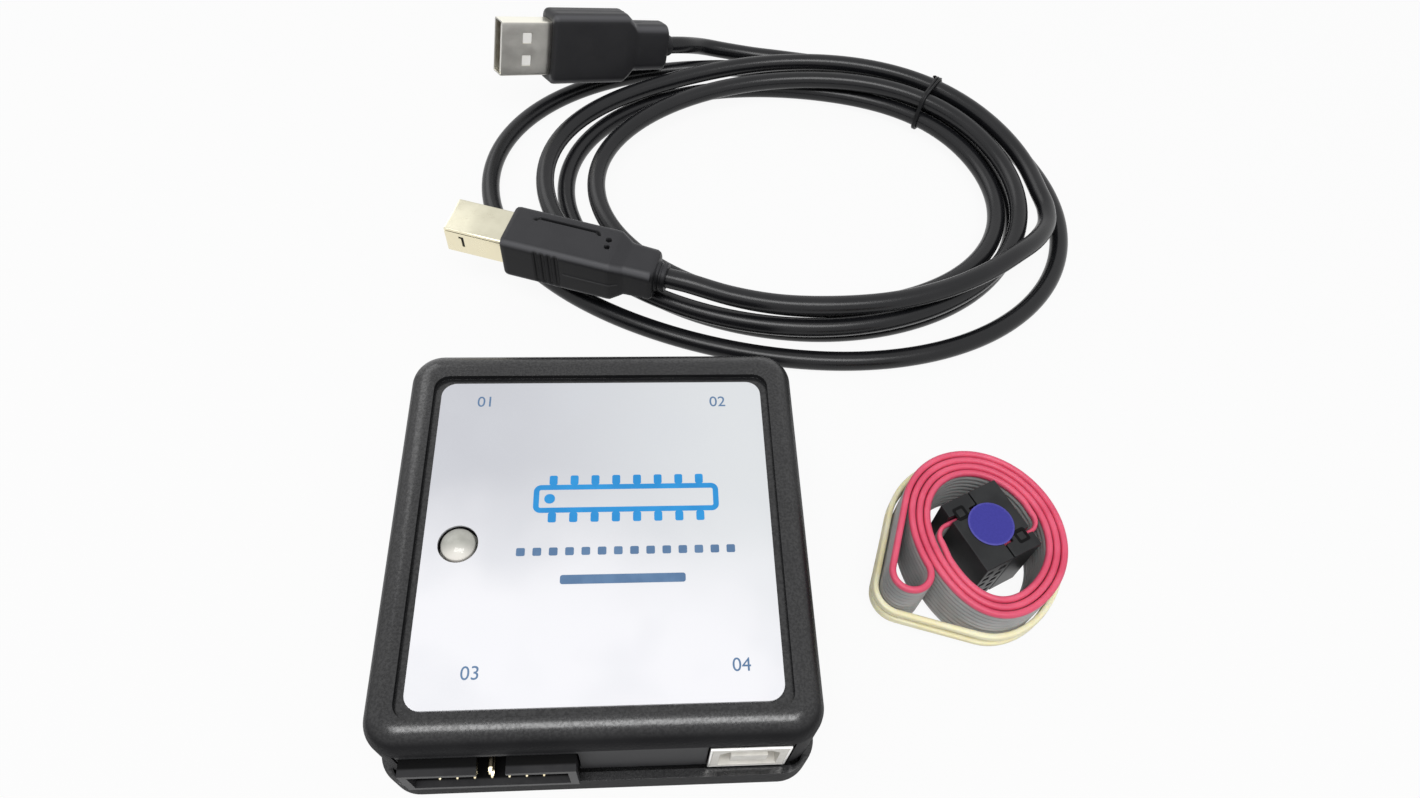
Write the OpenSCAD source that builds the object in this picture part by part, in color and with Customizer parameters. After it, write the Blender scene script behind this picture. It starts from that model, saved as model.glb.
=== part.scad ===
// USB microcontroller programmer with its coiled USB lead and its rolled ribbon lead

/* [Case] */
// Width of the case
case_w = 67; // [64:1:76]
// Depth of the case, front to back
case_d = 70; // [68:1:80]
// Height of the case
case_h = 22; // [22:0.5:26]
// Radius of the upright corners
corner_r = 5.5; // [5:0.5:6.5]
// Radius of the rounded top edge
edge_r = 4; // [2.5:0.5:4]
// Radius of the upright corners inside the walls
inner_r = 2; // [1.5:0.1:2]
// Thickness of the side walls
wall = 2; // [1.6:0.2:2.4]
// Thickness of the floor
floor_t = 2; // [1.8:0.1:2.4]
// Depth of the seam between the two shells under the top of the board
seam_drop = 1; // [0.8:0.1:1.6]
// Width of the corner posts beside the end openings
post_w = 4.5; // [4.4:0.1:4.6]
// Height of the upper lip over the end openings
brow_h = 3.7; // [3.5:0.1:3.9]
// Thickness of the lips in front of the end panels
lip_t = 1.3; // [1:0.1:1.6]
// How far the front of the upper shell stands behind the front of the lower one
front_set = 1.6; // [1.2:0.1:1.8]

/* [End panels] */
// Thickness of the end panels
panel_t = 1.6; // [1.2:0.1:2]
// How far a panel reaches behind the corner posts
panel_lap = 1; // [0.6:0.1:1]
// Clearance of the panels and of what passes through them
panel_gap = 0.2; // [0.1:0.05:0.3]
// Width of the ribs that stand behind the panels
rib_w = 2; // [1.5:0.25:3]

/* [Label] */
// Distance of the label plate from the sides of the case
label_side = 6; // [5.8:0.1:8]
// Distance of the label plate from the ends of the case
label_end = 7.15; // [6:0.05:9]
// Thickness of the label plate
label_t = 0.5; // [0.3:0.1:0.8]
// Corner radius of the label plate
label_r = 2.5; // [1:0.5:4]
// Width of the channel round the label
label_gap = 1.3; // [0.5:0.1:1.5]
// Depth of the label recess
recess_t = 1; // [0.8:0.1:1.2]
// Thickness of the top under the label
top_t = 1.6; // [1.4:0.1:2]

/* [Button] */
// Diameter of the button cap
button_d = 5.4; // [4.5:0.1:6]
// Clearance round the button cap
button_gap = 0.45; // [0.3:0.05:0.6]
// Distance of the button from the left edge of the label
button_inset = 5.4; // [5:0.1:12]
// Place of the button in front of the middle
button_y = -2.2; // [-8:0.1:8]
// Rise of the domed end of the cap
dome_h = 1.1; // [0.8:0.1:1.6]
// How far the dome stands over the label
dome_proud = 0.9; // [0.7:0.1:1.2]
// Travel of the button
button_travel = 0.5; // [0.3:0.1:0.7]
// Width of the collar that keeps the cap in
collar_w = 1.1; // [0.8:0.1:1.5]
// Thickness of that collar
collar_t = 1; // [0.8:0.1:1.5]
// Clearance between the collar and the top
collar_gap = 0.3; // [0.2:0.05:0.5]
// Diameter of the switch plunger
plunger_d = 3.5; // [3:0.1:3.8]
// Radial clearance of the plunger in the switch
plunger_gap = 0.35; // [0.3:0.05:0.5]
// Radial clearance of the plunger in the cap
plunger_fit = 0.05; // [0.05:0.05:0.15]
// Side of the square switch body
switch_w = 6; // [5.5:0.1:7]
// Height of the switch body
switch_h = 3.5; // [3:0.1:4.5]

/* [Circuit board] */
// Thickness of the board
board_t = 1.6; // [1:0.1:1.8]
// Clearance between the USB socket and the top over it
socket_room = 1.5; // [1.3:0.1:1.7]
// Clearance round the board
board_gap = 0.5; // [0.3:0.1:1]
// Diameter of the standoffs and of the bosses over them
boss_d = 6; // [5:0.25:6.5]
// Distance of the front screws behind the USB socket
screw_back = 5.5; // [4.5:0.5:7]
// Diameter of the screw shanks
screw_d = 2.2; // [1.8:0.1:2.6]
// Diameter of the screw heads
head_d = 4.4; // [4:0.1:4.8]
// Height of the screw heads
head_h = 1.1; // [0.8:0.1:1.2]
// Length of the screws under the head
screw_l = 11; // [9:0.5:12]
// Radial clearance of the screws
screw_gap = 0.05; // [0.05:0.05:0.2]

/* [Pin headers] */
// Distance between neighbouring pins
pitch = 2.54; // [2:0.02:2.54]
// Columns of pins in the front header
front_columns = 7; // [5:1:7]
// Columns of pins in each rear header
rear_columns = 5; // [3:1:5]
// Length of a header beyond its columns
header_extra = 7.62; // [6:0.1:8]
// Height of a header
header_h = 9.1; // [8.8:0.1:9.4]
// Wall of a header
header_wall = 1.2; // [1:0.1:1.4]
// Depth of a header, along its pins
header_depth = 10; // [9:0.5:11]
// Thickness of the header base that holds the pins
header_base = 3; // [2:0.5:3.5]
// How far a header stands out of the case
header_proud = 0.6; // [0.3:0.1:1]
// Width of the key slot
key_w = 4.5; // [3:0.1:5]
// Side of a square pin
pin_w = 0.64; // [0.5:0.02:0.7]
// How far the pin tips lie behind the mouth
pin_recess = 1.5; // [1:0.25:2.5]
// Distance of the front header from the left side
front_header_inset = 17.75; // [17.5:0.25:20]
// Distance of the rear headers from the sides
rear_header_inset = 16.5; // [15.5:0.25:20]

/* [USB socket] */
// Width of the socket shell
socket_w = 12.04; // [11.6:0.1:12.4]
// Height of the socket shell
socket_h = 10.9; // [10.7:0.1:11]
// Depth of the socket shell
socket_depth = 16; // [14:0.5:17]
// Sheet thickness of the socket shell
socket_sheet = 0.4; // [0.3:0.05:0.5]
// How far the socket stands out of the upper shell
socket_proud = 0.4; // [0.2:0.1:0.6]
// Distance of the socket from the right side
socket_inset = 11.1; // [11:0.25:14]
// Width of the mouth
mouth_w = 8.9; // [8.7:0.1:9.3]
// Height of the mouth
mouth_h = 8.2; // [8:0.1:8.5]
// Chamfer of the upper corners of the mouth
mouth_chamfer = 1.5; // [1:0.1:2]
// Depth of the mouth
mouth_depth = 10; // [9:0.5:11]
// Width of the tongue in the mouth
tongue_w = 5.6; // [5:0.1:6]
// Height of the tongue in the mouth
tongue_h = 3.2; // [2.8:0.1:3.4]
// Width of a contact strip
strip_w = 1; // [0.6:0.1:1.2]
// Thickness of a contact strip
strip_t = 0.25; // [0.2:0.05:0.4]

/* [Chips] */
// Side of the controller chip
controller_w = 10; // [7:0.5:12]
// Height of the chips
chip_h = 1.8; // [1.2:0.1:2.4]
// Length of the buffer chip
buffer_l = 13; // [9:0.5:14]
// Width of the buffer chip
buffer_w = 7.5; // [5:0.5:8]
// Spacing of the chip legs
leg_pitch = 1.27; // [1:0.01:1.27]
// Reach of the chip legs
leg_reach = 1.2; // [0.8:0.1:1.5]
// Length of the crystal can
crystal_l = 11; // [9:0.5:12]
// Width of the crystal can
crystal_w = 4.5; // [3.5:0.25:5]

/* [USB lead] */
// Diameter of the cable
cable_d = 4; // [3.4:0.1:4]
// Distance of the middle of the coil to the right
coil_x = 39.5; // [30:0.5:50]
// Distance of the middle of the coil behind the case
coil_back = 59.5; // [59:0.5:80]
// Half length of the outermost loop
coil_a = 61; // [60:0.5:70]
// Half width of the outermost loop
coil_b = 48.5; // [48:0.5:56]
// Spacing of neighbouring loops
loop_pitch = 6; // [6:0.1:6.6]
// Rise from one layer of loops to the next
layer_step = 4.5; // [4.5:0.1:5]
// Turns from one end of the coil to the other
coil_turns = 4.15; // [4.12:0.01:4.18]
// Width of the tie
tie_w = 1.4; // [1.2:0.1:3]
// Thickness of the tie
tie_t = 0.9; // [0.6:0.1:1.2]
// Slack between the tie and the loops
tie_gap = 0.3; // [0.2:0.05:0.5]

/* [USB plugs] */
// Width of the type A shell
plug_a_w = 12; // [11.8:0.1:12.2]
// Thickness of the type A shell
plug_a_h = 4.5; // [4.4:0.1:4.6]
// Width of the type A grip
grip_a_w = 16; // [14:0.5:17]
// Thickness of the type A grip
grip_a_h = 8; // [7:0.25:8.5]
// Length of the type A grip
grip_a_l = 21.5; // [18:0.5:24]
// Width of the type B shell
plug_b_w = 8.45; // [8.3:0.05:8.6]
// Height of the type B shell
plug_b_h = 7.78; // [7.6:0.02:7.9]
// Width of the type B grip
grip_b_w = 10.8; // [10:0.1:11.5]
// Height of the type B grip
grip_b_h = 10.6; // [10:0.1:11]
// Length of the type B grip
grip_b_l = 25; // [22:0.5:28]
// Length of a shell outside its grip
shell_l = 12; // [11.5:0.1:12.5]
// Sheet thickness of the plug shells
shell_sheet = 0.35; // [0.3:0.05:0.4]
// Length of the neck behind the type A grip
neck_a_l = 9; // [7:0.5:10]
// Length of the neck behind the type B grip
neck_b_l = 6; // [4:0.5:8]
// Length of the collar round the cable
cuff_l = 2; // [1:0.25:3]
// Diameter of that collar
cuff_d = 6; // [5.5:0.1:6.5]

/* [Ribbon lead] */
// Width of the ribbon
ribbon_w = 12.7; // [11:0.1:12.7]
// Thickness of the ribbon
ribbon_t = 0.8; // [0.6:0.05:0.8]
// Distance of the middle of the roll from the case
roll_x = 32.8; // [30:0.1:45]
// Place of the middle of the roll behind the middle of the case
roll_y = 2.5; // [-10:0.5:10]
// Turn of the roll about its middle
roll_turn = -65; // [-80:1:-50]
// Half length of the innermost turn
roll_a = 10.6; // [10.6:0.1:12]
// Half width of the innermost turn
roll_b = 8.9; // [8.9:0.1:10]
// Spacing of neighbouring turns of the roll
wrap_pitch = 1.3; // [1.28:0.01:1.4]
// Swell of the fold at the outer end of the roll
fold_swell = 5.2; // [4.5:0.1:5.5]
// Length of a ribbon socket along its mating direction
idc_l = 13.6; // [13:0.1:13.8]
// Width of a ribbon socket
idc_w = 5.7; // [5.4:0.1:5.8]
// Height of a ribbon socket, across the ribbon
idc_h = 15.2; // [15:0.1:16]
// Length of the cover on a ribbon socket
idc_cover_l = 2.6; // [2:0.1:3]
// Clearance of the ribbon in its socket
idc_gap = 0.05; // [0.05:0.01:0.1]
// Distance between the two ribbon sockets
idc_apart = 0.2; // [0.1:0.05:0.3]
// Diameter of the dot sticker
dot_d = 8; // [6:0.5:10]
// Thickness of the dot sticker
dot_t = 0.2; // [0.1:0.05:0.3]
// Height of one strand of the rubber band
band_w = 1.6; // [1:0.1:2.5]
// Thickness of the rubber band
band_t = 1; // [0.6:0.1:1.4]
// Slack between the rubber band and the roll
band_gap = 0.5; // [0.4:0.05:0.8]
// Height of the lower strand of the rubber band
band_z = 3; // [2.4:0.1:5]

/* [Hidden] */
$fn = 64;
// How far cuts reach past the faces they open
slip = 0.5;

// Levels and places in the case
ceiling_z = case_h - recess_t - top_t;
label_z = case_h - recess_t;
brow_z = case_h - brow_h;
board_top = ceiling_z - socket_room - socket_h;
board_z = board_top - board_t;
standoff_h = board_z - floor_t;
seam_z = board_top - seam_drop;
label_w = case_w - 2 * label_side;
label_d = case_d - 2 * label_end;
cavity_w = case_w - 2 * wall;
upper_d = case_d - front_set;
upper_y = front_set / 2;
opening_w = case_w - 2 * post_w;
panel_y = case_d / 2 - lip_t - panel_t - panel_gap;
board_w = cavity_w - 2 * board_gap;
board_rear = panel_y - panel_gap - board_gap;
board_d = 2 * board_rear - front_set;
recess_w = label_w + 2 * label_gap;
recess_d = label_d + 2 * label_gap;
button_x = button_inset - label_w / 2;
button_hole_d = button_d + 2 * button_gap;
header_y = case_d / 2 + header_proud;
front_header_x = front_header_inset - case_w / 2;
rear_header_x = case_w / 2 - rear_header_inset;
socket_x = case_w / 2 - socket_inset;
socket_y = case_d / 2 - front_set + socket_proud;
mouth_z = board_top + socket_h / 2;
screw_x = cavity_w / 2 - boss_d / 2 - board_gap;
screw_y = socket_y - socket_depth - screw_back;
screw_spots = [for (sx = [-1, 1], sy = [-1, 1]) [sx * screw_x, sy * screw_y]];
screw_sides = 12;

// Flat shapes
module rounded_rect(w, d, r) {
  square([w - 2 * r, d], center = true);
  square([w, d - 2 * r], center = true);
  for (sx = [-1, 1], sy = [-1, 1])
    translate([sx * (w / 2 - r), sy * (d / 2 - r)]) circle(r);
}

module chamfered_rect(w, h, c) {
  polygon([
    [-w / 2, -h / 2], [w / 2, -h / 2], [w / 2, h / 2 - c],
    [w / 2 - c, h / 2], [-w / 2 + c, h / 2], [-w / 2, h / 2 - c]
  ]);
}

// Cross section of the top shell, with its two rounded upper edges
module crown_profile(w) {
  translate([-w / 2, seam_z]) square([w, case_h - edge_r - seam_z]);
  translate([edge_r - w / 2, seam_z]) square([w - 2 * edge_r, case_h - seam_z]);
  for (sx = [-1, 1])
    translate([sx * (w / 2 - edge_r), case_h - edge_r]) circle(edge_r);
}

// Solid with upright round corners and a rounded top edge all round
module crowned_block() {
  rotate([90, 0, 0]) linear_extrude(upper_d - 2 * corner_r, center = true) crown_profile(case_w);
  rotate([90, 0, 90]) linear_extrude(case_w - 2 * corner_r, center = true) crown_profile(upper_d);
  for (sx = [-1, 1], sy = [-1, 1])
    translate([sx * (case_w / 2 - corner_r), sy * (upper_d / 2 - corner_r), 0])
      rotate_extrude()
        intersection() {
          crown_profile(2 * corner_r);
          square([corner_r, case_h]);
        }
}

// Hollow of a shell of depth d
module cavity(d, z0, z1) {
  translate([0, 0, z0]) linear_extrude(z1 - z0) rounded_rect(cavity_w, d - 2 * lip_t, inner_r);
}

module end_openings(z0, z1) {
  translate([-opening_w / 2, -case_d, z0]) cube([opening_w, 2 * case_d, z1 - z0]);
}

module bottom_shell() {
  rib_h = standoff_h - board_gap;
  rib_y = panel_y - panel_gap - rib_w / 2;
  rib_rows = [front_set - rib_y, rib_y];
  color("#1b1b1d") difference() {
    union() {
      difference() {
        linear_extrude(seam_z) rounded_rect(case_w, case_d, corner_r);
        cavity(case_d, floor_t, seam_z + slip);
      }
      for (p = screw_spots) translate([p[0], p[1], 0]) cylinder(h = board_z, d = boss_d);
      for (sx = [-1, 1], y = rib_rows)
        translate([sx * opening_w / 2, y, (floor_t + rib_h) / 2])
          cube([rib_w, rib_w, floor_t + rib_h], center = true);
    }
    for (p = screw_spots) translate([p[0], p[1], -slip]) {
      cylinder(h = head_h + slip, d = head_d + 2 * screw_gap);
      cylinder(h = board_z + 2 * slip, d = screw_d + 2 * screw_gap, $fn = screw_sides);
    }
  }
}

module top_shell() {
  bore_top = head_h + screw_l + slip;
  color("#1b1b1d") difference() {
    union() {
      difference() {
        translate([0, upper_y, 0]) difference() {
          crowned_block();
          cavity(upper_d, seam_z - slip, ceiling_z);
        }
        end_openings(seam_z - slip, brow_z);
        translate([0, 0, label_z]) linear_extrude(recess_t + slip) rounded_rect(recess_w, recess_d, label_r);
      }
      for (p = screw_spots)
        translate([p[0], p[1], board_top]) cylinder(h = ceiling_z - board_top, d = boss_d);
    }
    for (p = screw_spots)
      translate([p[0], p[1], board_top - slip])
        cylinder(h = bore_top - board_top + slip, d = screw_d + 2 * screw_gap, $fn = screw_sides);
    translate([button_x, button_y, ceiling_z - slip]) cylinder(h = case_h, d = button_hole_d);
  }
}

module label_plate() {
  color("#dfe2ec") translate([0, 0, label_z]) linear_extrude(label_t) difference() {
    rounded_rect(label_w, label_d, label_r);
    translate([button_x, button_y]) circle(d = button_hole_d);
  }
}

// Upright plate behind the lips of one end, with a raised field that fills the opening
module end_panel() {
  color("#161617") translate([0, -panel_y, 0]) difference() {
    union() {
      translate([-opening_w / 2 - panel_lap, -panel_t, floor_t])
        cube([opening_w + 2 * panel_lap, panel_t, ceiling_z - floor_t - panel_gap]);
      translate([panel_gap - opening_w / 2, -panel_t - lip_t, seam_z + panel_gap])
        cube([opening_w - 2 * panel_gap, lip_t + slip, brow_z - seam_z - 2 * panel_gap]);
    }
    children();
  }
}

// Room in a panel for what passes through it
module panel_cut(x, w, h) {
  cut_depth = panel_t + lip_t + 2 * slip;
  translate([x - w / 2 - panel_gap, slip - cut_depth, board_top - panel_gap])
    cube([w + 2 * panel_gap, cut_depth, h + 2 * panel_gap]);
}

function header_l(columns) = columns * pitch + header_extra;

module front_panel() {
  translate([0, front_set, 0]) end_panel() {
    panel_cut(front_header_x, header_l(front_columns), header_h);
    panel_cut(socket_x, socket_w, socket_h);
  }
}

module rear_panel() {
  rotate([0, 0, 180]) end_panel()
    for (sx = [-1, 1]) panel_cut(sx * rear_header_x, header_l(rear_columns), header_h);
}

module circuit_board() {
  color("#1f5a34") translate([0, 0, board_z]) difference() {
    translate([-board_w / 2, board_rear - board_d, 0]) cube([board_w, board_d, board_t]);
    for (p = screw_spots)
      translate([p[0], p[1], -slip])
        cylinder(h = board_t + 2 * slip, d = screw_d + 4 * screw_gap, $fn = screw_sides);
  }
}

// Pin header at the front, seen from outside: a box with a key slot in its upper wall
module header_box(columns) {
  l = header_l(columns);
  inner_l = l - 2 * header_wall;
  inner_h = header_h - 2 * header_wall;
  inner_depth = header_depth - header_base;
  color("#141415") translate([0, -header_y, board_top]) difference() {
    translate([-l / 2, 0, 0]) cube([l, header_depth, header_h]);
    translate([-inner_l / 2, -slip, header_wall]) cube([inner_l, inner_depth + slip, inner_h]);
    translate([-key_w / 2, -slip, header_h / 2]) cube([key_w, inner_depth + slip, header_h]);
    pin_rows(columns);
  }
}

// Distance of the nearer feet behind the header
foot_back = pitch / 4;

// Two rows of bent pins, whose feet stand on the board behind the header
module pin_rows(columns) {
  for (i = [0:columns - 1], row = [0, 1]) {
    x = (i - (columns - 1) / 2) * pitch;
    z = header_h / 2 + (row - 0.5) * pitch;
    foot_y = header_depth + foot_back + pitch * row;
    translate([x - pin_w / 2, pin_recess, z - pin_w / 2]) cube([pin_w, foot_y - pin_recess, pin_w]);
    translate([x - pin_w / 2, foot_y - pin_w, 0]) cube([pin_w, pin_w, z]);
  }
}

module header_pins(columns) {
  color("#d8b45a") translate([0, -header_y, board_top]) pin_rows(columns);
}

module at_front() {
  translate([front_header_x, 0, 0]) children();
}

module at_rear(side) {
  translate([side * rear_header_x, 0, 0]) rotate([0, 0, 180]) children();
}

module front_header() {
  at_front() header_box(front_columns);
}

module front_header_pins() {
  at_front() header_pins(front_columns);
}

module rear_left_header() {
  at_rear(-1) header_box(rear_columns);
}

module rear_left_header_pins() {
  at_rear(-1) header_pins(rear_columns);
}

module rear_right_header() {
  at_rear(1) header_box(rear_columns);
}

module rear_right_header_pins() {
  at_rear(1) header_pins(rear_columns);
}

// Upright plate standing on the front plane of the socket, from y0 to y1 behind it
module socket_prism(y0, y1) {
  translate([socket_x, y1 - socket_y, mouth_z]) rotate([90, 0, 0]) linear_extrude(y1 - y0) children();
}

module usb_socket_shell() {
  color("#c9c8c4") difference() {
    socket_prism(0, socket_depth) square([socket_w, socket_h], center = true);
    socket_prism(-slip, socket_depth - socket_sheet)
      square([socket_w - 2 * socket_sheet, socket_h - 2 * socket_sheet], center = true);
  }
}

module usb_socket_insert() {
  insert_w = socket_w - 2 * socket_sheet;
  insert_h = socket_h - 2 * socket_sheet;
  color("#efeee9") difference() {
    socket_prism(0, socket_depth - socket_sheet) square([insert_w, insert_h], center = true);
    socket_prism(-slip, mouth_depth) difference() {
      chamfered_rect(mouth_w, mouth_h, mouth_chamfer);
      square([tongue_w, tongue_h], center = true);
    }
  }
}

// Two contacts over the tongue and two under it
module usb_socket_contacts() {
  color("#d8b45a") for (sx = [-1, 1], sz = [-1, 1])
    socket_prism(strip_w, mouth_depth)
      translate([sx * tongue_w / 4, sz * (tongue_h + strip_t) / 2])
        square([strip_w, strip_t], center = true);
}

// Domed cap with a hollow stem, a collar under the top and a socket for the plunger
module button_cap() {
  top_z = label_z + label_t + dome_proud;
  collar_z = ceiling_z - collar_gap - collar_t;
  sphere_r = (pow(button_d / 2, 2) + pow(dome_h, 2)) / (2 * dome_h);
  color("#d9d7d2") translate([button_x, button_y, 0]) difference() {
    union() {
      translate([0, 0, collar_z]) cylinder(h = collar_t, d = button_d + 2 * collar_w);
      translate([0, 0, collar_z]) cylinder(h = top_z - dome_h - collar_z, d = button_d);
      intersection() {
        translate([0, 0, top_z - sphere_r]) sphere(sphere_r);
        translate([0, 0, top_z - dome_h]) cylinder(h = dome_h + slip, d = button_d);
      }
    }
    translate([0, 0, collar_z - slip]) cylinder(h = collar_t + 2 * slip, d = plunger_d + 2 * plunger_fit);
  }
}

module switch_plunger() {
  well_z = board_top + collar_t;
  plunger_z = well_z + button_travel + collar_gap;
  plunger_top = ceiling_z - collar_gap + slip;
  color("#2a2a2c") translate([button_x, button_y, plunger_z])
    cylinder(h = plunger_top - plunger_z, d = plunger_d);
}

module tact_switch() {
  well_z = board_top + collar_t;
  color("#3a3a3c") translate([button_x, button_y, 0]) difference() {
    translate([-switch_w / 2, -switch_w / 2, board_top]) cube([switch_w, switch_w, switch_h]);
    translate([0, 0, well_z]) cylinder(h = switch_h, d = plunger_d + 2 * plunger_gap);
  }
}

// Rectangular parts that stand on the board
module board_block(x, y, w, d, h) {
  translate([x - w / 2, y - d / 2, board_top]) cube([w, d, h]);
}

lamp_size = [2, 1.2, 0.8];

module status_lamp() {
  color("#e8e6d8")
    board_block(button_x + switch_w / 2 + lamp_size[0], button_y, lamp_size[0], lamp_size[1], lamp_size[2]);
}

// Row of flat legs along one side of a chip
module leg_row(count, reach) {
  leg_w = leg_pitch / 2;
  leg_h = chip_h / 3;
  for (i = [0:count - 1])
    translate([(i - (count - 1) / 2) * leg_pitch - leg_w / 2, 0, board_top]) cube([leg_w, reach, leg_h]);
}

// Places of the larger parts, in a row from the rear edge of the board, with room between them
buffer_back = 15.2;
crystal_room = 3;
controller_room = 2.75;
chip_x = 4;
buffer_at = [-chip_x, board_rear - buffer_back];
crystal_at = [chip_x, buffer_at[1] - (buffer_w + crystal_w) / 2 - crystal_room];
controller_at = [chip_x, crystal_at[1] - (crystal_w + controller_w) / 2 - controller_room];
regulator_at = [board_w / 2 - 11, 2];
crystal_h = 3.6;

module controller_chip() {
  legs = floor(controller_w / leg_pitch);
  color("#202022") translate([controller_at[0], controller_at[1], 0]) {
    board_block(0, 0, controller_w, controller_w, chip_h);
    for (turn = [0:90:270])
      rotate([0, 0, turn]) translate([0, controller_w / 2, 0]) leg_row(legs, leg_reach);
  }
}

module buffer_chip() {
  legs = floor(buffer_l / leg_pitch);
  color("#202022") translate([buffer_at[0], buffer_at[1], 0]) {
    board_block(0, 0, buffer_l, buffer_w, chip_h);
    for (turn = [0, 180]) rotate([0, 0, turn]) translate([0, buffer_w / 2, 0]) leg_row(legs, leg_reach);
  }
}

regulator_size = [6.5, 3.5, 1.6];
regulator_legs = 3;

module regulator() {
  color("#202022") translate([regulator_at[0], regulator_at[1], 0]) {
    board_block(0, 0, regulator_size[0], regulator_size[1], regulator_size[2]);
    translate([0, regulator_size[1] / 2, 0]) leg_row(1, leg_reach);
    rotate([0, 0, 180]) translate([0, regulator_size[1] / 2, 0]) leg_row(regulator_legs, leg_reach);
  }
}

module crystal() {
  color("#b9bcc0") translate([crystal_at[0], crystal_at[1], board_top])
    linear_extrude(crystal_h) rounded_rect(crystal_l, crystal_w, 0.45 * crystal_w);
}

// Small parts: size, spacing and first place of each row
small_size = [1.2, 2, 1];
small_count = 5;
small_pitch = 3;
capacitors_at = [board_w / 2 - 15, -5];
resistors_at = [board_w / 2 - 15, board_rear - 13.2];

module part_row(from) {
  for (i = [0:small_count - 1])
    board_block(from[0] + i * small_pitch, from[1], small_size[0], small_size[1], small_size[2]);
}

module capacitors() {
  color("#b98d5a") part_row(capacitors_at);
}

module resistors() {
  color("#2b2b2b") part_row(resistors_at);
}

module case_screws() {
  color("#9a9da1") for (p = screw_spots) translate([p[0], p[1], 0]) {
    cylinder(h = head_h, d = head_d);
    translate([0, 0, head_h]) cylinder(h = screw_l, d = screw_d, $fn = screw_sides);
  }
}

// Loops of the USB lead: turn 0 lies outermost, the loops spiral in, climb a layer and spiral out
cable_r = cable_d / 2;
coil_tilt = -7;
coil_start_angle = 62;
coil_middle = 2.19;
coil_reach = 2.3;
coil_soft = 0.14;
loop_rings = 24;
loop_drift = [0.4, -1.1];
climb_turns = 0.5;
turn_step = 0.01;
tie_angle = 51;
tie_sharpness = 8;
tie_slack = 1;
// Pull of the tie on the loops beside it, and the loop that it leaves in place
tie_pull = 1.6;
pull_sharpness = 4;
pull_hub = 1.1;
// Loose places: turn, half width in turns, outward push
loose_places = [[0.24, 0.15, 6], [0.67, 0.145, 11], [2.76, 0.2, -9], [3.82, 0.13, -8]];

function ease(v) = let (u = min(1, max(0, v))) u * u * (3 - 2 * u);
function unit(v) = v / norm(v);
function flat_turn(p, angle) =
  [p[0] * cos(angle) - p[1] * sin(angle), p[0] * sin(angle) + p[1] * cos(angle)];
function total(list, i = 0) = i < len(list) ? list[i] + total(list, i + 1) : 0;
function coil_inward(t) = coil_reach - sqrt(pow(t - coil_middle, 2) + pow(coil_soft, 2));
function coil_push(t) = total([for (p = loose_places) p[2] * exp(-pow((t - p[0]) / p[1], 2))]);
function coil_angle(t) = coil_start_angle - 360 * t;
function near_tie(angle, sharpness) = pow(max(0, cos(angle - tie_angle)), sharpness);
function tie_lift(angle) = (tie_t + 2 * tie_gap) * near_tie(angle, tie_sharpness);
function coil_climb(t) = layer_step * ease((t - coil_middle) / climb_turns + 0.5);
function coil_z(t) = cable_r + coil_climb(t) + tie_lift(coil_angle(t));
function coil_point(t) =
  let (
    inward = coil_inward(t),
    angle = coil_angle(t),
    pull = tie_pull * near_tie(angle, pull_sharpness) * (inward - pull_hub),
    out = coil_push(t) - loop_pitch * inward + pull,
    loop = [(coil_a + out) * cos(angle), (coil_b + out) * sin(angle)],
    flat = flat_turn(loop, coil_tilt) + loop_drift * inward
  )
  [flat[0], flat[1], coil_z(t)];
function coil_heading(t) = unit(coil_point(t + turn_step) - coil_point(t - turn_step));
function level(v) = unit([v[0], v[1], 0]);

coil_rings = round(coil_turns * loop_rings);
coil_head = coil_point(0) - cable_d * level(coil_heading(0));
coil_tail = coil_point(coil_turns) + cable_d * level(coil_heading(coil_turns));
coil_path = concat(
  [coil_head],
  [for (i = [0:coil_rings]) coil_point(coil_turns * i / coil_rings)],
  [coil_tail]
);

// Least distance between points of a path that lie half a loop or more apart along it
function finer(path) =
  [for (i = [0:len(path) - 2], k = [0:0.25:0.75]) path[i] * (1 - k) + path[i + 1] * k];
function least_apart(path, skip) =
  min([for (i = [0:len(path) - 1 - skip], j = [i + skip:len(path) - 1]) norm(path[i] - path[j])]);

echo(coil_least_gap = least_apart(finer(coil_path), 2 * loop_rings) - cable_d);

// Tube of a given number of sides along a path, with upright rings and flat ends
function ring(p, heading, r, sides) =
  let (side = unit(cross(heading, [0, 0, 1])), up = cross(side, heading))
  [for (k = [0.5:sides - 0.5]) p + r * (cos(360 * k / sides) * side + sin(360 * k / sides) * up)];
function path_heading(path, i) = unit(path[min(i + 1, len(path) - 1)] - path[max(i - 1, 0)]);

module tube(path, r, sides) {
  last = len(path) - 1;
  points = [for (i = [0:last]) each ring(path[i], path_heading(path, i), r, sides)];
  skin = [
    for (i = [0:last - 1], k = [0:sides - 1])
      let (a = i * sides + k, b = i * sides + (k + 1) % sides)
      each [[a, b, b + sides], [a, b + sides, a + sides]]
  ];
  near_end = [for (k = [1:sides - 2]) [0, k + 1, k]];
  far_end = [for (k = [1:sides - 2]) [last * sides, last * sides + k, last * sides + k + 1]];
  polyhedron(points, concat(skin, near_end, far_end), convexity = 10);
}

module at_usb_lead() {
  translate([coil_x, case_d / 2 + coil_back, 0]) children();
}

module usb_lead_coil() {
  color("#17181a") at_usb_lead() tube(coil_path, cable_r, 6);
}

// Places of the plugs beside the coil: the face of the grip that the shell leaves, and its turn
plug_a_at = [-53.9, 29, 18.2];
plug_a_turn = [73.9, 15.9, 24.5];
plug_b_at = [-59, -26.8, 14.1];
plug_b_turn = [0, 0, -17.5];
taper_l = 2.5;
taper_sheet = 0.05;
tail_a_l = grip_a_l + neck_a_l + cuff_l;
tail_b_l = grip_b_l + neck_b_l + cuff_l;

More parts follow.
